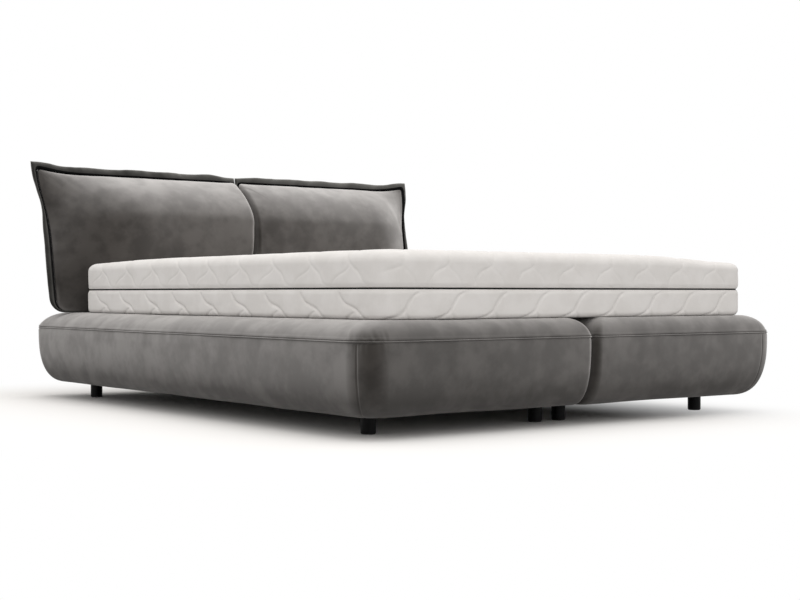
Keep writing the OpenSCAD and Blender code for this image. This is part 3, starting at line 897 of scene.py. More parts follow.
@dataclass
class BaseHalf:
    """One padded half of the base: top panel, side panel and the welt between them.

    The numbers of a roll are how deep it is at the outer side, the foot, the head and the
    inner side.
    """

    side: Side
    half_width: float = 0.900
    half_length: float = 1.160
    gap: float = 0.008
    underside: float = 0.061
    widest: float = 0.270
    seam: float = 0.280
    top: float = 0.340
    outer_radius: float = 0.090
    inner_radius: float = 0.028
    radius_follow: float = 0.3
    least_radius: float = 0.005
    lower_roll: Four = (0.095, 0.095, 0.095, 0.008)
    top_roll: Four = (0.105, 0.062, 0.105, 0.080)
    lower_fullness: float = 2.6
    top_fullness: float = 2.0
    lower_rings: int = 26
    top_rings: int = 22
    frame_x: Pair = (-0.782, -0.028)
    frame_y: float = 1.042
    frame_radius: float = 0.008
    underneath: Three = (0.0, 0.5, 0.9)
    corner_counts: Tuple[int, int, int, int] = (14, 60, 72, 14)
    straight_counts: Tuple[int, int] = (62, 150)
    outer_corners: Tuple[int, int] = (1, 2)
    tuck_steps: Pairs = ((0.0, 0.0070), (0.0002, 0.0050), (0.0007, 0.0034), (0.0017, 0.0021),
                         (0.0032, 0.0012), (0.0060, 0.0008))
    tuck_height: float = 0.0115
    welt_radius: float = 0.0024
    fullness: float = 0.9
    line_share: float = 0.35
    puckers: Tuple[Ripple, ...] = (Ripple(0.0011, (0.022, 0.03, 1.0), 0.0, 0.030),
                                   Ripple(0.0022, (0.075, 0.05, 1.0), 5.0, 0.090))
    waves: Ripple = Ripple(0.0026, (0.30, 0.30, 0.22), 9.0)
    gather_depths: Pair = (0.0022, 0.0012)
    gather_size: Three = (0.011, 1.0, 1.0)
    gather_slant: float = 0.5
    gather_width: float = 1.05
    gather_place: Pair = (0.014, 0.026)
    side_seam: Pair = (0.0017, 0.0026)
    side_seam_start: Pair = (0.004, 0.01)
    side_seam_sway: Ripple = Ripple(0.0012, (0.5, 0.06, 1.0), 7.0)
    side_seam_puckers: Ripple = Ripple(0.0012, (0.018, 0.02, 1.0), 4.0, 0.022)
    side_seam_share: float = 0.2
    held: float = 0.012

    def ring(self, rolls: Sequence[float], share: float, inset: float, z: float) -> np.ndarray:
        """Ring of the left half.

        Args:
            rolls: how far each side can be drawn in.
            share: share of the rolls by which it is.
            inset: what every side is drawn in more.
            z: height of the ring.

        Returns:
            The points of the ring.
        """
        outer, inner = (
            max(self.least_radius, radius - self.radius_follow * share * roll - inset)
            for radius, roll in ((self.outer_radius, rolls[0]), (self.inner_radius, rolls[3])))
        box = (-self.half_width + rolls[0] * share + inset,
               -self.gap / 2 - rolls[3] * share - inset,
               -self.half_length + rolls[1] * share + inset,
               self.half_length - rolls[2] * share - inset)
        return at_height(rounded_ring(box, (inner, outer, outer, inner), self.corner_counts,
                                      self.straight_counts), z)

    def lower_ring(self, a: float) -> np.ndarray:
        """Ring of the lower roll, from the underside at 0 to the widest line at 90 degrees."""
        t, power = math.radians(a), 2 / self.lower_fullness
        return self.ring(self.lower_roll, 1 - math.sin(t) ** power, 0.0,
                         self.widest - (self.widest - self.underside) * math.cos(t) ** power)

    def top_ring(self, a: float) -> np.ndarray:
        """Ring of the top roll, from the widest line at 0 to the top at 90 degrees."""
        t, power = math.radians(a), 2 / self.top_fullness
        return self.ring(self.top_roll, 1 - math.cos(t) ** power, 0.0,
                         self.widest + (self.top - self.widest) * math.sin(t) ** power)

    def seam_ring(self, inset: float, z: float) -> np.ndarray:
        """Ring that keeps the seam's outline.

        Args:
            inset: how far it is drawn in.
            z: its height.

        Returns:
            The points of the ring.
        """
        rise = (self.seam - self.widest) / (self.top - self.widest)
        t = math.asin(rise ** (self.top_fullness / 2))
        return self.ring(self.top_roll, 1 - math.cos(t) ** (2 / self.top_fullness), inset, z)

    def seam_line(self) -> Skin:
        """The line of the seam, as a single ring."""
        return Skin(self.seam_ring(0.0, self.seam)[None])

    def tucks(self, direction: int) -> List[np.ndarray]:
        """Rings where a panel turns into the seam, from the outside in.

        Args:
            direction: 1 for the panel above the seam and -1 for the one below.

        Returns:
            The rings.
        """
        return [self.seam_ring(inset, self.seam + direction * rise)
                for inset, rise in self.tuck_steps]

    def seam_marks(self) -> List[Tuple[int, float]]:
        """Corner of the ring and share of its turn at which a side panel's seam stands."""
        return [(2, 0.31 if self.side is Side.LEFT else 0.96), (1, 0.5)]

    def top_skin(self) -> Skin:
        """Shapes the smooth top panel.

        Returns:
            The panel, from its seam to its flat part.
        """
        rise = (self.seam + self.tuck_height - self.widest) / (self.top - self.widest)
        angles = np.linspace(math.degrees(math.asin(rise)), 90, self.top_rings)
        return Skin(np.stack(self.tucks(1)[::-1] + [self.top_ring(a) for a in angles]))

    def side_skin(self) -> Skin:
        """Shapes the smooth side panel.

        Returns:
            The panel, from under the frame to its seam.
        """
        low = [self.lower_ring(a) for a in np.linspace(0, 90, self.lower_rings)]
        box = (*self.frame_x, -self.frame_y, self.frame_y)
        inner = at_height(rounded_ring(box, (self.frame_radius,) * 4, self.corner_counts,
                                       self.straight_counts), self.underside)
        under = [inner * (1 - share) + low[0] * share for share in self.underneath]
        return Skin(np.stack(under + low + self.tucks(-1)))

    def softened(self, skin: Skin, from_seam: np.ndarray, on_top: bool) -> Skin:
        """Gives a panel its puckers, gathers, side seams and soft waves.

        Args:
            skin: the smooth panel.
            from_seam: distance of its points from the seam.
            on_top: whether it is the top panel.

        Returns:
            The panel as it is sewn.
        """
        run = self.seam_line().around()[0]
        s = np.broadcast_to(run, skin.points.shape[:2])
        h = np.abs(from_seam)
        seed = self.side.seed(11.0 if on_top else 0.0, 3.7)
        line = along_line(s, h, self.line_share)
        height = sum(ripple.over(line, seed, h) for ripple in self.puckers)
        height += self.waves.over(skin.points, seed)
        corners = corner_slices(self.corner_counts, self.straight_counts)
        depth = self.gather_depths[0 if on_top else 1]
        place, reach = self.gather_place
        gathers = cloud(along_line(s + self.gather_slant * h, s, 0.0), self.gather_size, seed + 2)
        for k in self.outer_corners:
            start, end = run[corners[k].start], run[corners[k].stop - 1]
            near = hump(s - (start + end) / 2, (end - start) / 2 * self.gather_width, 4)
            height += depth * near * gathers * hump(h - place, reach)
        if not on_top:
            depth, width = self.side_seam
            start, change = self.side_seam_start
            below = smooth_step((h - start) / change)
            for k, share in self.seam_marks():
                at = corners[k].start + share * (corners[k].stop - 1 - corners[k].start)
                off = (s - np.interp(at, np.arange(len(run)), run)
                       + self.side_seam_sway.over(line, seed))
                height -= depth * hump(off, width) * below
                height += self.side_seam_puckers.over(along_line(h, off, self.side_seam_share),
                                                      seed, np.abs(off)) * below
        soft = skin.raised(height * smooth_step(h / self.held))
        soft.points[..., 2] = np.minimum(soft.points[..., 2], self.top)
        return soft

    def build(self, finishes: Wardrobe) -> List[bpy.types.Object]:
        """Makes the pieces of this half.

        Args:
            finishes: the bed's finishes.

        Returns:
            The pieces.
        """
        made = []
        for name, skin, on_top, covered in (
                ("base_top", self.top_skin(), True, ("top_panel", "foam_pad")),
                ("base_side", self.side_skin(), False, ("side_panel", "foam_bolster"))):
            reach = skin.across()
            soft = self.softened(skin, reach if on_top else reach[-1:] - reach, on_top)
            piece = soft.on(self.side).build(self.side.node(name), close_last=on_top)
            made.append(dress(piece, finishes.velvet, "base",
                              self.side.nodes(*covered)))
        welt = tube(self.seam_line().on(self.side).points[0], self.welt_radius,
                    self.side.node("base_welt"))
        made.append(dress(welt, finishes.velvet, "base", self.side.nodes("welt")))
        return made


# The two head cushions


@dataclass
class HeadCushion:
    """One leaning head cushion: face, back and the sewn flange round them.

    Across is u, up along the lean is v and in front of the flange is w. Rolls and bends are
    given for the outer side, the foot, the inner side and the top.
    """

    side: Side
    lean: float = math.radians(11.5)
    flange_y: float = 0.955
    rest_z: float = 0.340
    u0: float = -0.877
    u1: float = -0.011
    v0: float = 0.005
    v1: float = 0.568
    radii: Four = (0.022, 0.012, 0.040, 0.022)
    radius_follow: float = 0.6
    least_radius: float = 0.004
    depth: float = 0.166
    crown: float = 0.007
    blend: float = 0.020
    rolls: Four = (0.370, 0.380, 0.024, 0.208)
    right_rolls: Four = (0.250, 0.380, 0.016, 0.208)
    bends: Pairs = ((2.0, 0.98), (2.0, 1.0), (2.0, 0.54), (1.8, 0.68))
    inner_fall: Pair = (0.015, 0.35)
    right_inner_fall: Pair = (0.205, 0.42)
    stretch: float = 0.011
    overhang: float = 0.0020
    inner_overhang: float = 0.0090
    top_overhang: float = 0.0060
    overhang_reach: float = 0.045
    overhang_rise: float = 0.012
    overhang_fade: float = 0.030
    near_insets: Tuple[float, ...] = (0.0, 0.0006, 0.0016, 0.003, 0.005, 0.008, 0.012, 0.017,
                                      0.023, 0.030)
    far_insets: Tuple[Tuple[float, float, int], ...] = ((0.038, 0.180, 20), (0.190, 0.2813, 10))
    sunk_seam: float = 0.0042
    line_share: float = 0.3
    face_puckers: Tuple[Ripple, ...] = (Ripple(0.0014, (0.020, 0.03, 1.0), 0.0, 0.022),
                                        Ripple(0.0030, (0.070, 0.05, 1.0), 3.0, 0.075))
    face_waves: Tuple[Ripple, ...] = (Ripple(0.0045, (0.26, 0.26, 0.16), 8.0),
                                      Ripple(0.0020, (0.10, 0.10, 0.10), 15.0))
    calm_corner: Pair = (0.05, 0.020)
    face_held: float = 0.014
    calm_below: Pair = (0.60, 0.04)
    forward_from: Pair = (0.05, 0.08)
    back_depth: float = 0.045
    back_roll: float = 0.034
    back_crown: Three = (0.004, 0.03, 0.08)
    back_insets: Tuple[float, ...] = (0.26, 0.20, 0.14, 0.09, 0.06)
    back_rings: int = 12
    back_puckers: Ripple = Ripple(0.0012, (0.022, 0.03, 1.0), 0.0, 0.025)
    back_waves: Ripple = Ripple(0.0024, (0.24, 0.24, 0.16), 8.0)
    back_held: float = 0.010
    face_ear: Pair = (0.036, 0.022)
    face_ear_reach: Four = (0.15, 0.08, 0.065, 0.07)
    face_ear_bends: Pair = (2.2, 1.5)
    face_ear_fade: float = 0.14
    flange_thickness: float = 0.012
    flange_foot: float = 0.0012
    flange_foot_radius: float = 0.062
    flange_top: float = 0.038
    flange_side: float = 0.031
    flange_inner: float = 0.009
    flange_inner_drop: float = 0.006
    flange_foot_turn: float = 0.012
    edge_count: int = 150
    turn_count: int = 14
    ear: Pair = (0.030, 0.015)
    ear_reach: Pair = (0.090, 0.125)
    ear_calm: Pair = (0.06, 0.09)
    edge_sways: Tuple[Four, ...] = ((0.0012, 0.09, 0.0, 0.3), (0.0038, 0.085, 4.0, 0.7),
                                    (0.0026, 0.075, 9.0, 1.1))
    flange_waves: Tuple[Ripple, ...] = (Ripple(0.0060, (0.085, 1.0, 1.0)),
                                        Ripple(0.0022, (0.030, 1.0, 1.0), 4.0))
    flange_loose: Pair = (0.03, 1.3)
    flange_sway_bend: float = 1.4
    flange_spread: float = 0.0090
    flange_most: float = 0.55
    flange_bulge: Pairs = ((0.16, 0.92), (0.36, 1.05), (0.56, 1.02), (0.74, 0.88), (0.88, 0.64),
                           (0.97, 0.32), (1.00, 0.0))
    # Flange rings round the seam that are painted near black as seam shade.
    groove: Tuple[int, int] = (-7, 4)
    fullness: float = 0.8
    mattress_head: float = 0.895
    mattress_top: float = 0.541
    mattress_half_width: float = 0.800
    mattress_corner_radius: float = 0.080
    mattress_edge_radius: float = 0.034
    mattress_drop: Pair = (0.009, 0.65)
    clearance: float = 0.0022
    beside: Pair = (0.02, 0.2)
    slope: float = math.radians(20)
    corner_count: int = 12
    straight_counts: Tuple[int, int] = (88, 58)

    def placed(self, u: np.ndarray, v: np.ndarray, w: np.ndarray) -> np.ndarray:
        """Puts points of the left cushion in their place.

        Args:
            u: places across the cushion.
            v: places up along its lean.
            w: places in front of its flange.

        Returns:
            The points, as X, Y and Z.
        """
        sin, cos = math.sin(self.lean), math.cos(self.lean)
        return np.stack([u, self.flange_y - w * cos + v * sin, self.rest_z + w * sin + v * cos],
                        axis=-1)

    def plain_ring(self, inset: float) -> np.ndarray:
        """Outline of the seam without its ear.

        Args:
            inset: how far it is drawn in.

        Returns:
            The points, as u and v.
        """
        least = (self.v1 - self.v0) / 2 - inset - 0.0002
        radii = [min(max(self.least_radius, r - self.radius_follow * inset), least)
                 for r in self.radii]
        box = (self.u0 + inset, self.u1 - inset, self.v0 + inset, self.v1 - inset)
        return rounded_ring(box, radii, (self.corner_count,) * 4, self.straight_counts)

    def inset_ring(self, inset: float) -> np.ndarray:
        """Outline of the seam with its ear at the outer top corner.

        Args:
            inset: how far it is drawn in.

        Returns:
            The points, as u and v.
        """
        u, v = self.plain_ring(inset).T
        fade = max(0.0, 1 - inset / self.face_ear_fade) ** 2
        below, beside = np.maximum(self.v1 - v, 0), np.maximum(u - self.u0, 0)
        out_below, out_beside, up_beside, up_below = self.face_ear_reach
        out_bend, up_bend = self.face_ear_bends
        out = self.face_ear[0] * hump(below, out_below, out_bend) * hump(beside, out_beside)
        up = self.face_ear[1] * hump(beside, up_beside, up_bend) * hump(below, up_below)
        return np.c_[u - out * fade, v + up * fade]

    def bulged(self, flat: np.ndarray, w: np.ndarray, inset: float) -> np.ndarray:
        """Pushes a ring near the seam outwards.

        Args:
            flat: the ring, as u and v.
            w: how far its points stand in front of the flange. The further, the more push.
            inset: how far the ring is drawn in from the seam.

        Returns:
            The ring, as u and v.
        """
        along = np.roll(flat, -1, axis=0) - np.roll(flat, 1, axis=0)
        along /= np.maximum(np.linalg.norm(along, axis=1, keepdims=True), 1e-9)
        by_inner = hump(self.u1 - flat[:, 0], self.overhang_reach)
        by_top = hump(self.v1 - flat[:, 1], self.overhang_reach)
        most = (self.overhang + (self.inner_overhang - self.overhang) * by_inner
                + (self.top_overhang - self.overhang) * by_top * (1 - by_inner))
        push = (most * (1 - np.exp(-np.maximum(w, 0) / self.overhang_rise))
                * math.exp(-(inset / self.overhang_fade) ** 2))
        return flat + np.c_[along[:, 1], -along[:, 0]] * push[:, None]

    def swell(self, d: np.ndarray, side: int) -> np.ndarray:
        """Share of the depth reached at a distance from one side of the face.

        Args:
            d: the distance.
            side: 0 for the outer side, 1 for the foot, 2 for the inner side and 3 for the top.

        Returns:
            The share, from 0 to 1.
        """
        flat, steep = self.bends[side]
        rolls = self.rolls if self.side is Side.LEFT else self.right_rolls
        left = 1 - np.clip(d / rolls[side], 0, 1)
        return (1 - left ** flat) ** steep

    def face_depth(self, u: np.ndarray, v: np.ndarray) -> np.ndarray:
        """How far the face stands in front of the flange.

        Args:
            u: places across the cushion.
            v: places up along its lean.

        Returns:
            The depth at each place.
        """
        share, reach = self.inner_fall if self.side is Side.LEFT else self.right_inner_fall
        fall = share * (1 - np.clip((self.u1 - u) / reach, 0, 1)) ** 2
        across = self.swell(u - self.u0, 0) * self.swell(self.u1 - u, 2) * (1 - fall)
        upward = self.swell(v - self.v0, 1) * self.swell(self.v1 - v, 3)
        x = 2 * (u - self.u0) / (self.u1 - self.u0) - 1
        y = 2 * (v - self.v0) / (self.v1 - self.v0) - 1
        free = self.depth * across * upward + self.crown * (1 - x ** 4) * (1 - y * y)
        return smooth_min(free, self.room(u, v), self.blend)

    def room(self, u: np.ndarray, v: np.ndarray) -> np.ndarray:
        """Greatest depth that leaves the mattress free, at rest and as it lifts off.

        Args:
            u: places across the cushion.
            v: places up along its lean.

        Returns:
            The depth at each place.
        """
        sin, cos, tan = math.sin(self.lean), math.cos(self.lean), math.tan(self.slope)
        past = np.abs(u) - self.mattress_half_width
        turn = np.clip(past / self.mattress_corner_radius + 1, 0, 1)
        head = self.mattress_head - self.mattress_corner_radius * (1 - np.sqrt(1 - turn ** 2))
        flat = (self.flange_y + v * sin - head - self.clearance) / cos
        r = self.mattress_edge_radius + self.clearance
        lip_y = head - self.mattress_edge_radius + r
        drop, reach = self.mattress_drop
        lowered = drop * (1 - smooth_step(-past / reach))
        lip_z = (self.mattress_top - self.mattress_edge_radius - lowered
                 + r * (1 - math.sin(self.slope)) / math.cos(self.slope))
        over = ((v * cos + self.rest_z - lip_z - (lip_y - self.flange_y - v * sin) * tan)
                / (cos * tan - sin))
        change, free = self.beside
        return np.maximum(flat, over) + smooth_step(past / change) * free

    def corners(self) -> List[slice]:
        """Each corner's place in the cushion's rings."""
        return corner_slices((self.corner_count,) * 4, self.straight_counts)

    def face(self) -> Skin:
        """Shapes the face, with its puckers and waves.

        Returns:
            The face, from its seam to its middle.
        """
        insets = np.concatenate([self.near_insets,
                                 *(np.linspace(*span) for span in self.far_insets)])
        rings = []
        for inset in insets.tolist():
            flat, plain = self.inset_ring(inset), self.plain_ring(inset)
            w = (self.face_depth(plain[:, 0], plain[:, 1]) if inset
                 else np.full(len(flat), -self.sunk_seam))
            flat = self.bulged(flat, w, inset)
            rings.append(self.placed(flat[:, 0], flat[:, 1], w))
        skin = Skin(np.stack(rings))
        seed = self.side.seed(21.0, 6.3)
        inset = insets[:, None] * np.ones(skin.points.shape[:2])
        run = skin.around()[0]
        s = np.broadcast_to(run, inset.shape)
        line = along_line(s, inset, self.line_share)
        height = sum(ripple.over(line, seed, inset) for ripple in self.face_puckers)
        width, start = self.calm_corner
        for corner in self.corners():
            middle = run[(corner.start + corner.stop - 1) // 2]
            height *= 1 - hump(s - middle, width) * smooth_step(inset / start)
        for wave in self.face_waves:
            height += wave.over(skin.points, seed)
        height *= smooth_step(inset / self.face_held)
        top, change = self.calm_below
        by_mattress = smooth_step((top - skin.points[..., 2]) / change)
        height = np.where(height > 0, height * (1 - by_mattress), height)
        forward = np.array([0.0, -math.cos(self.lean), math.sin(self.lean)])
        start, change = self.forward_from
        share = smooth_step((inset - start) / change)[..., None]
        way = skin.normals() * (1 - share) + forward * share
        return Skin(skin.points + way * height[..., None])

    def back(self) -> Skin:
        """Shapes the padded back, with its puckers and waves.

        Returns:
            The back, from its middle to its seam.
        """
        crown, start, reach = self.back_crown
        rings = [(inset, -self.back_depth - crown * (1 - math.exp(-(inset - start) / reach)))
                 for inset in self.back_insets]
        rings += [(self.back_roll * (1 - math.cos(a)), -self.back_depth * math.sin(a))
                  for a in np.radians(np.linspace(90, 0, self.back_rings))]
        made = []
        for inset, w in rings:
            flat = self.inset_ring(inset)
            made.append(self.placed(flat[:, 0], flat[:, 1], np.full(len(flat), w)))
        skin = Skin(np.stack(made))
        seed = self.side.seed(41.0, 6.3)
        inset = np.array([i for i, _ in rings])[:, None] * np.ones(skin.points.shape[:2])
        s = np.broadcast_to(skin.around()[-1], inset.shape)
        height = self.back_puckers.over(along_line(s, inset, self.line_share), seed, inset)
        height += self.back_waves.over(skin.points, seed)
        return skin.raised(height * smooth_step(inset / self.back_held))

    def flange_edge(self) -> Tuple[np.ndarray, int, int]:
        """Outer edge of the flange, from the inner foot corner round to the outer one.

        Returns:
            Its points as u and v, and the places of the inner top corner and the ear's tip.
        """
        count, foot_v = self.edge_count, self.flange_foot
        top_v, side_u = self.v1 + self.flange_top, self.u0 - self.flange_side
        inner_u = self.u1 + self.flange_inner
        ear_out, ear_up = self.ear
        tip_u, tip_v = side_u - ear_out, top_v + ear_up
        seed = self.side.seed(2.2, 3.1)
        inner_sway, top_sway, outer_sway = self.edge_sways
        v = np.linspace(foot_v, top_v - self.flange_inner_drop, count // 2)
        up_inner = np.c_[inner_u + wander(v, seed, inner_sway), v]
        u = np.linspace(inner_u, tip_u, count)
        reach, side_reach = self.ear_reach
        rise = falling(u - tip_u, reach) - falling(inner_u - u, reach) / 2
        calm, side_calm = self.ear_calm
        along_top = np.c_[u, top_v + ear_up * rise
                          + wander(u, seed, top_sway) * (1 - falling(u - tip_u, calm))]
        v = np.linspace(tip_v, foot_v + self.flange_foot_radius, count // 2)
        down = tip_v - v
        down_outer = np.c_[side_u - ear_out * falling(down, side_reach)
                           + wander(v, seed, outer_sway) * (1 - falling(down, side_calm)), v]
        turn = np.radians(np.linspace(0, 90, self.turn_count))
        r = self.flange_foot_radius
        foot = np.c_[down_outer[-1, 0] + r * (1 - np.cos(turn)), foot_v + r * (1 - np.sin(turn))]
        points = np.concatenate([up_inner[:-1], along_top, down_outer[1:], foot[1:]])
        return points, len(up_inner) - 1, len(up_inner) - 2 + count

    def flange_section(self) -> List[Three]:
        """Section of the flange, from the seam in front round its edge to the seam behind.

        Returns:
            Distance from the seam, share of the width beyond it and height of each point.
        """
        t = self.flange_thickness / 2
        front = ((0.0, -0.0036), (0.0016, -0.0036), (0.0034, -0.0028), (0.0052, 0.0),
                 (0.0070, 0.45 * t), (0.0090, 0.75 * t))
        behind = ((0.0090, -0.90 * t), (0.0052, -0.86 * t), (0.0034, -0.0048),
                  (0.0016, -0.0044), (0.0, -0.0044))
        wide = [(self.flange_spread, share, t * w) for share, w in self.flange_bulge]
        return ([(d, 0.0, w) for d, w in front] + wide
                + [(d, share, -w) for d, share, w in wide[-2::-1]]
                + [(d, 0.0, w) for d, w in behind])

    def flange(self) -> Skin:
        """Shapes the sewn flange, with its sway.

        Returns:
            The flange, as a flat closed tube round the seam.
        """
        inner = self.inset_ring(-0.0002)
        edge, corner_mark, ear_mark = self.flange_edge()
        run, total = line_run(edge), len(inner)
        top_inner, top_outer, foot_outer, foot_inner = (
            (corner.start + corner.stop - 1) / 2 for corner in self.corners())
        length = run[-1] + np.linalg.norm(edge[0] - edge[-1])
        stations = [(top_inner, run[corner_mark]), (top_outer, run[ear_mark]),
                    (foot_outer, run[-1] - self.flange_foot_turn), (foot_inner, length),
                    (top_inner + total, length + run[corner_mark])]
        columns = np.arange(total)
        wrapped = np.where(columns < top_inner, columns + total, columns)
        along = np.interp(wrapped, *zip(*stations)) % length
        closed = np.concatenate([edge, edge[:1]])
        closed_run = np.concatenate([run, [length]])
        outer = np.stack([np.interp(along, closed_run, closed[:, k]) for k in range(2)], axis=1)
        width = np.linalg.norm(outer - inner, axis=1)
        seed = self.side.seed(61.0, 6.3)
        s = line_run(inner)
        sway = sum(wave.over(along_line(s, s, 0.0), seed) for wave in self.flange_waves)
        full_width, most = self.flange_loose
        sway *= np.clip(width / full_width, 0, most)
        rings = []
        for distance, share, w in self.flange_section():
            first = np.minimum(distance / np.maximum(width, 1e-6), self.flange_most)
            part = (first + (1 - first) * share)[:, None]
            flat = inner * (1 - part) + outer * part
            rings.append(self.placed(flat[:, 0], flat[:, 1],
                                     w + sway * part[:, 0] ** self.flange_sway_bend))
        return Skin(np.stack(rings[::-1]), looped=True)

    def build(self, finishes: Wardrobe) -> List[bpy.types.Object]:
        """Makes the pieces of this cushion.

        Args:
            finishes: the bed's finishes.

        Returns:
            The pieces.
        """
        flange = self.flange()
        # The face's first two rings and the flange's groove rings get velvet painted near black as
        # shade in the seam.
        groove = [k % len(flange.points) for k in range(*self.groove)]
        made = []
        for name, skin, covered, padded, options in (
                ("cushion_face", self.face(), ("headboard_front", "headboard_foam"), True,
                 {"weld_last": True, "marked": (0, 1)}),
                ("cushion_back", self.back(), ("headboard_back",), True, {"close_first": True}),
                ("cushion_flange", flange, ("headboard_flange",), False, {"marked": groove})):
            placed = skin.on(self.side)
            if self.side is Side.RIGHT:
                placed.points[..., 0] += (self.stretch * (placed.points[..., 0] + self.u1)
                                          / (self.u1 - self.u0))
            piece = placed.build(self.side.node(name), **options)
            made.append(dress(piece,
                              finishes.cushion_velvet if padded else finishes.flange_velvet,
                              "base",
                              self.side.nodes(*covered),
                              second=finishes.seam_shade_velvet if "marked" in options else None))
        return made


# The mattress


@dataclass(frozen=True)
class QuiltLine:
    """A quilting line that repeats along a band of the mattress.

    Its shape is a row of points, each a share of the way across the band, counted from the
    zip, and a place in pitches of the pattern.
    """

    shape: Pairs
    span: Pair
    width: float = 0.0030
    halo: float = 4.0
    shares: Pair = (0.74, 0.26)
    bend: float = 1.3
    end: float = 0.08
    steps: int = 60
    passes: int = 12

    def depth(self, x: np.ndarray, t: np.ndarray, pitch: float, band: float) -> np.ndarray:
        """Depth of the repeated line, from 0 to 1.

        Args:
            x: place along the band, in pitches.
            t: place across the band, from 0 at the zip to 1 at its far edge.
            pitch: length of one repeat.
            band: height of the band.

        Returns:
            Depth at each place.
        """
        shares, offsets = np.array(self.shape, float).T
        fine = np.linspace(shares[0], shares[-1], self.steps)
        smooth = np.interp(fine, shares, offsets)
        for _ in range(self.passes):
            smooth[1:-1] = (smooth[:-2] + 2 * smooth[1:-1] + smooth[2:]) / 4
        slope = np.interp(t, fine, np.gradient(smooth, fine)) * pitch / band
        off = x - np.interp(t, fine, smooth)
        off = (off - np.round(off)) * pitch / np.sqrt(1 + slope ** 2)
        first, last = self.span
        ends = smooth_step((t - first) / self.end) * smooth_step((last - t) / self.end)
        line, halo = self.shares
        return (line * hump(off, self.width, self.bend)
                + halo * hump(off, self.halo * self.width, 1)) * ends


@dataclass(frozen=True)
class QuiltBand:
    """Quilting of one kind of side, above or below the zip.

    The depths are the one at the zip and what is added to it up to the far edge.
    """

    pitch: float
    main: QuiltLine
    second: QuiltLine
    second_share: float
    depths: Pair

    def depth(self, x: np.ndarray, t: np.ndarray, band: float) -> np.ndarray:
        """Depth of the quilting, from 0 to 1.

        Args:
            x: place along the band.
            t: place across the band, from 0 at the zip to 1 at its far edge.
            band: height of the band.

        Returns:
            Depth at each place.
        """
        main, second = (line.depth(x / self.pitch, t, self.pitch, band)
                        for line in (self.main, self.second))
        at_zip, gain = self.depths
        return np.maximum(main, self.second_share * second) * (at_zip + gain * t)


SIDE_PITCH = 0.2076
FOOT_PITCH = 0.169


